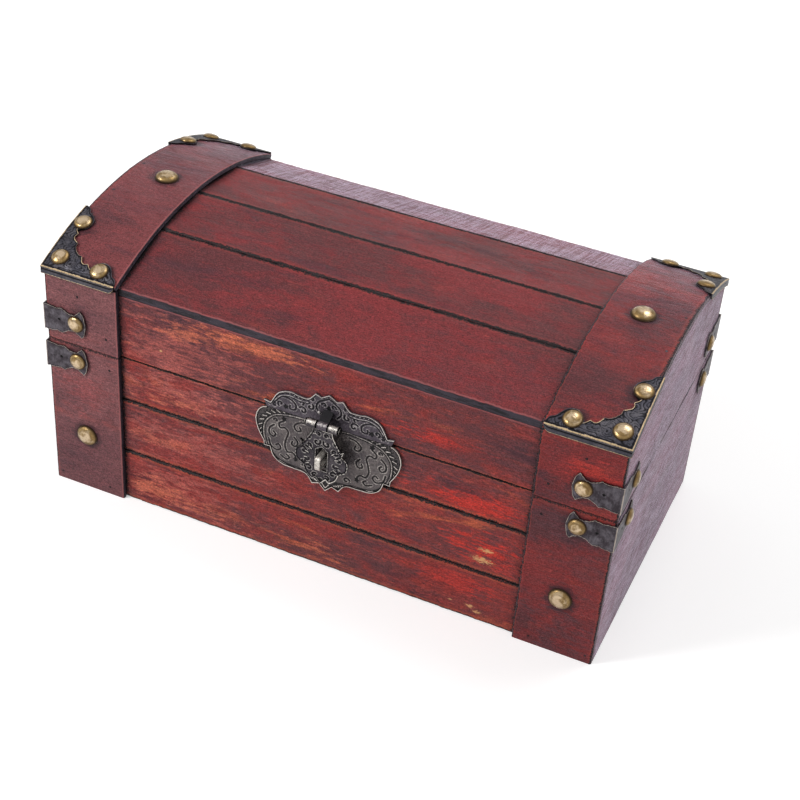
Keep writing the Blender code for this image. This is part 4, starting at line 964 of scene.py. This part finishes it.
def metal_corners():
    """Corner plates, brackets, and every tack."""
    for side, along_x in SIDES:
        for end, along_y in ENDS:
            name = f"{end}_{side}"
            tacks = []
            for number, (x, y) in enumerate(CORNER_TACKS):
                at = on_arch(along_x * x, along_y * y, METAL_RADIUS)
                tacks.append(seated(tack(4.75, 2.1, number), at, arch_normal(along_y * y, METAL_RADIUS)))
            sheet, node = corner_plate(along_x, along_y), f"lid_corner_{name}"
            make_piece(f"corner_plate_{name}", [sheet], CORNER_METAL, "lid", [node])
            make_piece(f"corner_tacks_{name}", tacks, BRASS, "lid")
            for body, z in BRACKET_HEIGHTS.items():
                sheet, node = bracket(along_x, along_y, z), f"{body}_bracket_{name}"
                make_piece(f"{body}_corner_strip_{name}", [sheet], BRACKET_METAL, body, [node])
                on_front = (along_x * BRACKET_TACK_X, along_y * METAL_FRONT, z)
                on_side = (along_x * METAL_SIDE, along_y * BRACKET_TACK_Y, z)
                heads = [
                    seated(tack(4.6, 2.1, 4), on_front, (0, along_y, 0)),
                    seated(tack(4.6, 2.1, 5), on_side, (along_x, 0, 0)),
                ]
                make_piece(f"{body}_bracket_tacks_{name}", heads, BRASS, body)
            at = (along_x * STRAP_TACK[0], along_y * STRAP_FACE, STRAP_TACK[1])
            head = seated(tack(6.0, 2.7, 7), at, (0, along_y, 0))
            make_piece(f"strap_tack_{name}", [head], BRASS, "base", [f"base_tack_{name}"])
        head = seated(tack(6.2, 3.4, 8), (along_x * TOP_TACK[0], 0, TOP_TACK[1]), UP)
        make_piece(f"top_tack_{side}", [head], BRASS, "lid", [f"lid_tack_{side}"])


# Latch

LATCH_X = 5.5
PLATE_BACK = 77.8
PLATE_FACE = 78.8
LID_PLATE_HALF = 34.2
LID_PLATE_HEIGHT = 17.6
BASE_PLATE_HALF = 38.6
BASE_PLATE_HEIGHT = 39.3
BARREL_Y = -84.5
BARREL_Z = 92.8
BARREL_AT = (LATCH_X, BARREL_Y, BARREL_Z)
BARREL_RADIUS = 2.2
BARREL_BORE = 1.4
BARREL_SIDES = 28
BARREL_HALF = 8.4
MIDDLE_KNUCKLE_HALF = 2.8
HASP_SHEET = 1.2
HASP_HALF_WIDTH = 13.6
HASP_DROP = 34.2
HASP_NECK_TOP = 2.5
HASP_SLOT = np.array([(0, 12.2), (3.1, 14.4), (3.1, 26.2), (0, 26.2)])
EYE_Z = 72.6

LID_PLATE_TOP = (
    (0, 1, SHARP), (0.12, 0.85, SHARP), (0.21, 0.92, SHARP), (0.32, 0.68), (0.46, 0.67), (0.6, 0.71),
    (0.78, 0.57), (0.9, 0.17, SHARP), (1, 0.21, SHARP),
)
BASE_PLATE_FOOT = (
    (0, 1, SHARP), (0.09, 0.91, SHARP), (0.185, 0.945, SHARP), (0.28, 0.83), (0.46, 0.815), (0.62, 0.8),
    (0.74, 0.72), (0.79, 0.59, SHARP), (0.872, 0.595, SHARP), (0.878, 0.53, SHARP), (0.925, 0.45),
    (0.965, 0.37), (0.99, 0.29), (1, 0.22, SHARP),
)
BASE_PLATE_SHOULDER = (
    (0.84, 0.0), (0.89, 0.015), (0.93, 0.04), (0.96, 0.075), (0.985, 0.13), (0.996, 0.18), (1.0, 0.215)
)
HASP_SHARES = (
    (0.4, 0.13), (0.56, 0.25), (0.73, 0.37, SHARP), (0.86, 0.33, SHARP), (0.77, 0.43, SHARP), (1, 0.52),
    (0.97, 0.67), (0.7, 0.75, SHARP), (0.58, 0.87), (0.36, 0.955, SHARP), (0.19, 0.91, SHARP),
    (0, 1, SHARP),
)

# Scrolls of the latch's right half, as distances from its middle line and heights above the ground
ARCH_LINE = (
    (5.5, 88.2), (11, 88.6), (17, 88.2), (22.5, 87.4), (28.3, 85.4), (32.3, 81.6), (34.0, 77), (33.5, 70),
    (30.5, 63.6), (26.4, 59.6), (21, 57.9), (14.5, 57.6), (9.5, 55.4),
)
BASE_SCROLLS = (
    (
        (23.2, 83.6), (25.8, 81.4), (25.2, 79.0), (22.4, 79.6), (20.8, 77.2), (21.8, 73.4), (22.4, 69.4),
        (21.0, 66.0), (18.2, 66.2), (16.6, 64.6), (16.4, 62.9),
    ),
    ((28.4, 79.6), (30.8, 77.2), (31.0, 73.8), (28.8, 72.4), (27.6, 74.2), (28.8, 75.6)),
    ((31.2, 70.6), (30.0, 66.6), (26.6, 65.0), (24.6, 66.8), (25.8, 68.8), (27.2, 67.8)),
    ((11.2, 86.2), (15.0, 85.4), (17.6, 82.8), (16.4, 80.2), (14.2, 80.8), (14.8, 82.8)),
    ((17.4, 75.8), (15.6, 73.4), (16.6, 70.6), (18.8, 71.2), (18.4, 73.0)),
    ((24.4, 62.6), (21.4, 61.2), (19.8, 62.8), (21.2, 64.0)),
)
LID_SCROLLS = (
    (
        (31.0, 91.4), (28.8, 95.4), (24.8, 97.8), (20.4, 97.6), (17.4, 95.4), (17.6, 92.4), (20.2, 92.0),
        (20.4, 94.0),
    ),
    ((4.6, 95.2), (6.4, 97.6), (5.6, 101.0), (2.6, 103.2), (0.0, 104.8)),
)

# Each curl: its middle, its radius, the angle where it starts and how far it winds in
BASE_CURLS = ((11.0, 60.4, 1.8, 0.2, 4.8), (27.6, 82.6, 1.2, 0.0, 4.4))
LID_CURLS = (
    (13.4, 93.4, 2.2, 0.6, 5.2), (14.6, 98.0, 1.7, -2.2, -4.8), (9.6, 97.0, 1.9, 2.2, 5.0),
    (8.8, 101.4, 1.4, 0.0, 4.6), (25.4, 93.4, 1.6, -1.0, 4.8), (28.4, 91.6, 1.1, 1.8, -4.4),
    (2.4, 100.4, 1.3, 0.0, 4.6),
)
HASP_CURLS = (
    (2.6, 83.0, 2.0, 2.6, 5.0), (7.2, 84.2, 1.5, 0.0, 4.6), (6.8, 79.8, 1.9, -0.6, -5.0),
    (9.4, 75.6, 1.7, 1.6, 4.8), (7.2, 71.6, 1.6, 0.2, -4.6), (9.6, 69.0, 1.3, 2.6, 4.6),
    (6.4, 66.2, 1.7, 0.6, 4.8), (3.4, 62.8, 1.4, 2.2, -4.8), (2.0, 87.6, 1.2, 0.4, 4.4),
    (5.6, 87.6, 1.2, 2.8, -4.4), (0.0, 60.6, 0.9, 0.0, 6.0),
)
BASE_NAILS = ((23.3, 84.8), (16.4, 62.8))
LID_NAILS = ((22.4, 92.5), (0.0, 99.1))


def curl(x, z, radius, start, winding):
    """A curl that winds in: the radius falls to a quarter while the angle runs on from its start."""
    share = np.linspace(0, 1, 30)
    reach, angle = radius * (1 - 0.75 * share), start + winding * share
    return np.stack([x + reach * np.cos(angle), z + reach * np.sin(angle)], -1)


def mark(at, tilt, start, length):
    """A short straight mark, at an angle, that begins at a distance from a point."""
    along = np.array([math.cos(tilt), math.sin(tilt)])
    first = at + start * along
    return line(first, first + length * along, 0.25)


def mirrored(right):
    """A closed outline from its right half, whose first and last points lie on the middle line."""
    return np.concatenate([right, right[1:-1][::-1] * (-1, 1)])


def stamped(x, z, outline, scrolls, curls, nails, raised=(), ticks=(), seed=3):
    """Height of a stamped face in -1 to 1.

    A bright bead follows the outline with a groove inside it. Scrolls and curls are cut in with raised
    lines beside them, ticks are raised, tool marks fill the field, and each nail is a small head in a pit.
    """
    side = np.abs(x)
    rim = away(x, z, outline)
    marks = scrollwork(side, z, seed)
    lift = 0.3 * marks * np.clip((rim - 1.0) / 1.2, 0, 1) - 0.05
    cuts = [smooth_line(scroll) for scroll in scrolls] + [curl(*winding) for winding in curls]
    gap = away(side, z, np.concatenate(cuts))
    lift = np.where(gap < 1.1, 0.62 * ridge(np.abs(gap - 0.78), 0.32) - 1.1 * ridge(gap, 0.5), lift)
    if ticks:
        gap = away(side, z, np.concatenate(ticks))
        lift = np.where(gap < 0.8, 0.85 * ridge(gap, 0.4) - 0.7 * ridge(np.abs(gap - 0.6), 0.25), lift)
    for line_points in raised:
        gap = away(side, z, smooth_line(line_points))
        lift = np.where(gap < 1.0, 0.75 * ridge(gap, 0.34) - 0.9 * ridge(np.abs(gap - 0.75), 0.4), lift)
    for nail in nails:
        gap = np.hypot(side - nail[0], z - nail[1])
        star = 1.2 + 0.3 * np.cos(5 * np.arctan2(z - nail[1], side - nail[0]))
        lift = np.where(gap < star, -1.0 + 0.3 * ridge(gap, 0.5), lift)
    lift = np.where(rim < 0.9, -0.95, lift)
    return np.where(rim < 0.38, 0.9, lift)


def flat_plate(half, low, high, lift, rows=96, deep=0.22):
    """A stamped plate on the front: columns across, points from the lower edge to the upper edge.

    Its face stands out by the lift times the depth, and its rim is turned back to the board.
    """
    share = np.linspace(0, 1, rows)
    z = low[:, None] + (high - low)[:, None] * share
    x = np.repeat(half[:, None], rows, axis=1)
    height = lift(x, z)
    face = np.stack([LATCH_X + x, -PLATE_FACE - deep * height, z], -1)
    back = face[:, [-1, 0]].copy()
    back[..., 1] = -PLATE_BACK
    rings = np.concatenate([face, back], axis=1)
    values = np.concatenate([height, np.zeros((len(half), 2))], axis=1)
    return loft(rings, {"relief": values})


def columns(outline, half_width, step=0.32):
    """Places of a plate's columns: evenly across, and also at each point of its outline."""
    own = np.concatenate([outline[:, 0] * half_width, np.arange(0, half_width, step)])
    right = np.unique(np.round(own, 3))
    return np.concatenate([-right[:0:-1], right])


def lid_latch_plate():
    """The lid's plate, a bar that comes forward from it to the hasp's pin, and the middle knuckle."""
    top = traced(LID_PLATE_TOP, 8)
    half = columns(top, LID_PLATE_HALF)
    share = np.abs(half) / LID_PLATE_HALF
    high = LID_BOTTOM + LID_PLATE_HEIGHT * np.interp(share, *top.T)
    low = LID_BOTTOM + LID_PLATE_HEIGHT * np.interp(share, (0.96, 1.0), (0, 0.205))
    rim = even_line(np.stack([half, high], -1), 0.25)
    share = np.array((0.32, 0.45, 0.6, 0.74, 0.84))
    inset = LID_BOTTOM + LID_PLATE_HEIGHT * np.interp(share, *top.T) - 2.3
    ear = np.stack([share * LID_PLATE_HALF, inset], -1)
    ticks = leaf_marks(ear, (0, 90), pitch=2.2, reach=(0.7, 1.4), skip=(2, 2))

    def lift(x, z):
        return stamped(x, z, rim, LID_SCROLLS, LID_CURLS, LID_NAILS, (ear,), ticks, 8)

    box = np.array([(-1, 0, -1), (1, 0, -1), (1, 0, 1), (-1, 0, 1)]) * (MIDDLE_KNUCKLE_HALF - 0.15, 0, 0.65)
    behind, front = (LATCH_X, -78.3, BARREL_Z + 4.95), (LATCH_X, BARREL_Y, BARREL_Z + 1.1)
    bar = np.linspace(behind, front, 6)[:, None] + box
    bead = turned([(POLE, 1.0), (0.7, 0.7), (1.0, 0.0), (POLE, 0.0)], 16, {"relief": [1, 0.8, -0.5, -1]})
    shells = [
        flat_plate(half, low, high, lift, rows=60),
        loft(bar, {"relief": -0.7}),
        barrel(-MIDDLE_KNUCKLE_HALF, MIDDLE_KNUCKLE_HALF, shine=-0.1),
        seated(bead, (LATCH_X - 4.8, -PLATE_FACE, 95.8), (0, -1, 0)),
    ]
    make_piece("lid_latch_plate", shells, LID_PLATE_METAL, "lid", ["latch_lid_plate"])


def base_latch_plate():
    """The base's plate: scrolls in an arched line with leaf marks, and a fan of marks over its foot."""
    foot = traced(BASE_PLATE_FOOT, 8)
    half = columns(foot, BASE_PLATE_HALF)
    share = np.abs(half) / BASE_PLATE_HALF
    low = BASE_HEIGHT - BASE_PLATE_HEIGHT * np.interp(share, *foot.T)
    high = BASE_HEIGHT - BASE_PLATE_HEIGHT * np.interp(share, *np.transpose(BASE_PLATE_SHOULDER))
    lower, upper = np.stack([half, low], -1), np.stack([half, high], -1)
    corner = share > 0.85
    right = np.concatenate([lower, upper[corner & (half > 0)][::-1]])
    rim = np.concatenate([even_line(right, 0.25), even_line(upper[corner & (half < 0)], 0.25)])
    ticks = leaf_marks(ARCH_LINE, (0, 74), pitch=2.7, reach=(1.2, 2.7), skip=(60, 30))
    for fan in range(7):
        ticks.append(mark((3.2 + 1.25 * fan, 53.6 + 0.28 * fan), 0.5 + 0.25 * fan, 0, 1.8))
    ticks.append(even_line([(0.0, 56.6), (1.9, 54.0), (0.0, 51.4)], 0.2))

    def lift(x, z):
        height = stamped(x, z, rim, BASE_SCROLLS, BASE_CURLS, BASE_NAILS, (ARCH_LINE,), ticks, 4)
        border = (np.abs(x) / 34.3) ** 3 + (np.abs(z - 73) / 15.6) ** 3 > 1
        height = np.where(border & (height < 0.4), np.minimum(height, 0) - 0.4, height)
        # Painted shade: the plate behind the hasp's slot is dark, so the slot looks deep
        shade_behind_slot = (np.abs(x) < 4.2) & (z > 64) & (z < 83)
        return np.where(shade_behind_slot, -1.0, height)

    plate = flat_plate(half, low, high, lift, rows=120)
    make_piece("base_latch_plate", [plate], PLATE_METAL, "base", ["latch_base_plate"])


def leaf_marks(curve, middle, pitch, reach, skip):
    """Short slanting marks outside an arched line, as seen from its middle, every few millimetres."""
    path = even_line(smooth_line(curve), 0.2)
    slope = np.gradient(path, axis=0)
    slope /= np.linalg.norm(slope, axis=1)[:, None]
    out = np.stack([-slope[:, 1], slope[:, 0]], -1)
    out *= np.sign(((path - middle) * out).sum(axis=1))[:, None]
    places = slice(skip[0], len(path) - skip[1], int(pitch / 0.2))
    starts = path + out * reach[0]
    stops = path + out * reach[1] + slope * (reach[1] - reach[0])
    return [line(start, stop, 0.25) for start, stop in zip(starts[places], stops[places])]


def barrel(start, end, radius=BARREL_RADIUS, centre=BARREL_AT, bore=BARREL_BORE, shine=0.05):
    """A barrel's knuckle along X, with a dark ring at each end, and a bore for the pin unless it is 0.

    The painted highlight grows with the square of the cosine of the angle off a line 50 degrees above the
    front.
    """
    length, inner = end - start, bore or POLE
    profile = [
        (inner, 0), (0.85 * radius, 0), (radius, 0.18), (radius, 0.45), (radius, 0.3 * length + 0.3),
        (radius, 0.7 * length - 0.3), (radius, length - 0.45), (radius, length - 0.18),
        (0.85 * radius, length), (inner, length),
    ]
    off = 2 * math.pi * np.arange(BARREL_SIDES) / BARREL_SIDES + math.radians(50)
    relief = np.full((len(profile), BARREL_SIDES), -1.0)
    # Painted highlight: a bright band along the knuckle's top front, darker below
    relief[3:7] = shine + 0.65 * np.clip(np.cos(off), 0, 1) ** 2
    shell = turned(profile, BARREL_SIDES, {"relief": relief}, joined=bool(bore))
    return seated(shell, np.add(centre, (start, 0, 0)), (1, 0, 0), (0, 1, 0))


def hasp():
    """The hasp: a ring between its outline and its slot, and a knuckle at each side of its top."""
    right = [(across / HASP_HALF_WIDTH, HASP_NECK_TOP / HASP_DROP, SHARP) for across in (4.0, 5.3)]
    right = traced([*right, *HASP_SHARES], 10) * (HASP_HALF_WIDTH, HASP_DROP)
    right = even_line(np.concatenate([[(0, HASP_NECK_TOP)], right]), 0.3)
    outer = mirrored(right)

    # The slot's points lie level with the outline's, with a share of even steps added
    drop = np.maximum.accumulate(right[:, 1])
    share = (drop - drop[0]) / (drop[-1] - drop[0]) * 0.7 + np.linspace(0, 0.3, len(right))
    lengths = travelled(HASP_SLOT)
    inner = mirrored(np.stack([np.interp(share, lengths / lengths[-1], own) for own in HASP_SLOT.T], -1))
    share = np.concatenate([[0, 0.02, 0.05, 0.08], np.linspace(0.11, 0.92, 26), [0.96, 1.0]])
    flat = between(outer, inner, share)
    x, z = flat[..., 0], BARREL_Z - flat[..., 1]

    # Curls, petals round the slot, and a beaded rim, with a painted highlight that leaves it bright on the
    # right and dull on the left
    petals = [mark((0.0, EYE_Z), 0.42 * fan - 0.5, 7.4, 1.7) for fan in range(9)]
    petals = [petal for petal in petals if petal[0, 0] > 3.8]
    outline = np.stack([outer[:, 0], BARREL_Z - outer[:, 1]], -1)
    lift = stamped(x, z, outline, (), HASP_CURLS, (), (), petals, 9)
    beaded = (outer[:, 1] > 8) & (outer[:, 1] < 27)
    beads = np.where(beaded, np.cos(2 * math.pi * np.arange(len(outer)) * 0.3 / 2.1), 1.0)[:, None]
    lift = np.where((lift >= 0.9) & (beads < -0.3), -0.6, lift)
    # Painted highlight: the rim is dulled on the left only
    lift = np.where((lift >= 0.9) & (x < 0), 0.5, lift)
    hole = away(x, z, np.stack([inner[:, 0], BARREL_Z - inner[:, 1]], -1))
    lift = np.where(hole < 1.0, -0.6, lift)
    lift = np.where(hole < 0.5, 0.5, lift)
    y = BARREL_Y + 0.3 - HASP_SHEET / 2
    face = np.stack([LATCH_X + x, y - 0.2 * lift, z], -1)
    back = face[:, [-1, -2, 1, 0]].copy()
    back[..., 1] = y + HASP_SHEET
    values = np.concatenate([lift, np.zeros((len(outer), 4))], axis=1)
    shells = [loft(np.concatenate([face, back], axis=1), {"relief": values}, joined=True)]
    shells += [barrel(-BARREL_HALF, -3.1), barrel(3.1, BARREL_HALF)]
    box = np.array([(0, 0.9, 0), (0, 0.9, 3.0), (0, -0.3, 3.0), (0, -0.3, 0)])
    for sign in (-1, 1):
        at = np.array((LATCH_X + sign * 3.4, BARREL_Y, BARREL_Z - 3.2))
        shells.append(loft(line(at, at + (sign * 1.8, 0, 0), 1)[:, None] + box, {"relief": 0.0}))
    make_piece("hasp", shells, HASP_METAL, "hasp", ["latch_hasp"])


def eye_and_pin():
    """The eye: a flat bar bent into a staple, and the latch's pin."""
    seat, tip, half, band, wide, corner = -78.7, -89.5, 4.0, 1.7, 1.4, 1.6
    middle = half - band / 2
    bend = np.linspace(0, math.pi / 2, 7)
    upper = [tip + band / 2 + corner * (1 - np.sin(bend)), middle - corner * (1 - np.cos(bend))]
    upper = np.stack(upper, -1)
    path = np.concatenate([[(seat, middle)], upper, (upper * (1, -1))[::-1], [(seat, -middle)]])
    along = np.gradient(path, axis=0)
    along /= np.linalg.norm(along, axis=1)[:, None]
    outward = np.stack([along[:, 1], -along[:, 0]], -1)
    half_box = np.array([(-1, -0.75), (-0.85, -1), (0.85, -1), (1, -0.75)])
    box = np.concatenate([half_box, -half_box])
    yz = path[:, None] + outward[:, None] * (box[:, 1] * band / 2)[None, :, None]
    x = np.broadcast_to(LATCH_X + box[:, 0] * wide, yz.shape[:2])
    rings = np.stack([x, yz[..., 0], EYE_Z + yz[..., 1]], -1)
    make_piece("eye", [loft(rings, {"relief": 0.7})], STEEL, "base", ["latch_eye"])
    pin = ((-BARREL_HALF, BARREL_HALF, 1.1), (8.5, 9.3, 1.7), (-9.3, -8.5, 1.7))
    shells = [barrel(*part, bore=0) for part in pin]
    make_piece("latch_pin_shown", shells, STEEL, "lid", ["latch_pin"])


# Hinges

HINGE_X = 85.0
HINGE_Y = 80.4
HINGE_Z = 89.15
LEAF_HALF = 13.0
LEAF_FACE = 78.8
KNUCKLES = {"lid": ((-4.2, 4.2),), "base": ((-13, -4.5), (4.5, 13))}
HINGE_PIN = ((-13.3, 13.3, 1.2), (13.3, 14.1, 1.8), (-14.1, -13.3, 1.8))


def hinges():
    """Two butt hinges at the back: on each body a leaf with nails and knuckles, and the pins."""
    head = [(POLE, 0.5), (0.8, 0.42), (1.35, 0.0), (1.35, -0.2), (POLE, -0.2)]
    sheet = {"outward": (0, 1, 0), "thickness": 1.0, "ragged": 0, "bow": 0}
    for side, along_x in SIDES:
        x, z = along_x * HINGE_X, HINGE_Z
        centre = (x, HINGE_Y, z)
        for body, upward in (("lid", 1), ("base", -1)):
            sheet["across"] = (0, 0, upward)
            low = z + upward * 2.9
            path = line((x - LEAF_HALF, LEAF_FACE, low), (x + LEAF_HALF, LEAF_FACE, low), 2)
            leaf = plank(path, width=11.6, lip=(0.3, 0.3), drop=0.3, **sheet)
            leaf[2]["relief"] = np.interp(leaf[2].pop("edge"), (0, 1, 2.5), (0.8, 0.4, 0))
            shells = [leaf]
            for start, end in KNUCKLES[body]:
                shells.append(barrel(start, end, 2.6, centre, 1.5))
                tongue = line((x + start + 0.3, LEAF_FACE, z), (x + end - 0.3, LEAF_FACE, z), 2)
                strip = plank(tongue, width=3.2, lip=(0.2, 0.2), drop=0.2, cells=1, **sheet)
                strip[2]["relief"] = 0 * strip[2].pop("edge")
                shells.append(strip)
            for number, across in enumerate((-9.0, 0.0, 9.0)):
                shell = turned(head, 16, {"relief": [0.3, 0.6, -0.8, -1, -1]}, 0.04, number)
                shells.append(seated(shell, (x + across, LEAF_FACE + 1.0, z + upward * 9.4), (0, 1, 0)))
            node = f"hinge_{body}_leaf_{side}"
            make_piece(f"{body}_hinge_leaf_{side}", shells, PLATE_METAL, body, [node])
        shells = [barrel(*part, centre, 0) for part in HINGE_PIN]
        make_piece(f"hinge_rod_{side}", shells, STEEL, "base", [f"hinge_pin_{side}"])


# Studio, in metres

FLOOR_HALF = 4.0
LIT_POINT = (0, 0, 0.07)

# Each lamp: its name, place, width and power
LAMPS = (("key", (-0.8, -0.72, 0.86), 0.42, 11.0), ("top", (0.35, 0.5, 1.2), 0.8, 6))
CAMERA_AXES = ((0.91041, 0.40837, 0.06628), (-0.28941, 0.51415, 0.8074), (0.29564, -0.75425, 0.58627))
CAMERA_PLACE = (0.26192, -0.64288, 0.55555)


def seen_by_camera(tree):
    """1 on rays from the camera, straight or by way of a gloss or a clear face, else 0."""
    rays = tree.nodes.new("ShaderNodeLightPath").outputs
    seen = rays["Is Camera Ray"]
    for other in ("Is Glossy Ray", "Is Transmission Ray"):
        either = tree.nodes.new("ShaderNodeMath")
        either.operation = "MAXIMUM"
        feed(tree, either.inputs[0], seen)
        feed(tree, either.inputs[1], rays[other])
        seen = either.outputs[0]
    return seen


def placed(name, data, axes, place):
    """A lamp or camera at a place, with its own X, Y and Z along the three axes."""
    holder = bpy.data.objects.new(name, data)
    bpy.context.scene.collection.objects.link(holder)
    matrix = Matrix(axes).transposed().to_4x4()
    matrix.translation = place
    holder.matrix_world = matrix
    return holder


def studio():
    """A floor that the camera sees as white but for the chest's shadow, soft lamps and the camera."""
    ground = Finish("floor")
    seen = seen_by_camera(ground.tree)
    glow = ground.times(seen, ground.step(ground.reach((MM, MM, MM)), 0.5, 1.6, 0.42, 0.66))
    ground.shade(
        {
            "Base Color": (0.8, 0.8, 0.8, 1),
            "Roughness": 0.7,
            "Specular IOR Level": 0.2,
            "Emission Color": (1, 1, 1, 1),
            "Emission Strength": glow,
        }
    )
    mesh = bpy.data.meshes.new("floor")
    corners = [(x * FLOOR_HALF, y * FLOOR_HALF, 0) for x, y in ((-1, -1), (1, -1), (1, 1), (-1, 1))]
    mesh.from_pydata(corners, [], [(0, 1, 2, 3)])
    mesh.materials.append(ground.material)
    floor = bpy.data.objects.new("floor", mesh)
    bpy.context.scene.collection.objects.link(floor)

    world = bpy.data.worlds.new("studio")
    bpy.context.scene.world = world
    world.use_nodes = True
    tree = world.node_tree
    background = tree.nodes["Background"]
    seen = seen_by_camera(tree)
    strength = tree.nodes.new("ShaderNodeMapRange")
    for key, value in (("To Min", 0.42), ("To Max", 1.0), ("Value", seen)):
        feed(tree, strength.inputs[key], value)
    feed(tree, background.inputs["Strength"], strength.outputs[0])
    feed(tree, background.inputs["Color"], (1, 1, 1, 1))

    for name, place, size, power in LAMPS:
        lamp = bpy.data.lights.new(name, "AREA")
        lamp.shape = "DISK"
        lamp.size = size
        lamp.energy = power
        back = np.subtract(place, LIT_POINT)
        back /= np.linalg.norm(back)
        right = np.cross(UP, back)
        right /= np.linalg.norm(right)
        placed(name, lamp, np.stack([right, np.cross(back, right), back]).tolist(), place)

    camera = bpy.data.cameras.new("camera")
    camera.lens = 73.68
    camera.sensor_width = 36
    bpy.context.scene.camera = placed("camera", camera, CAMERA_AXES, CAMERA_PLACE)
    bpy.context.scene.view_settings.view_transform = "Standard"


base_boards()
lid_boards()
straps()
nails()
metal_corners()
lid_latch_plate()
base_latch_plate()
hasp()
eye_and_pin()
hinges()
studio()
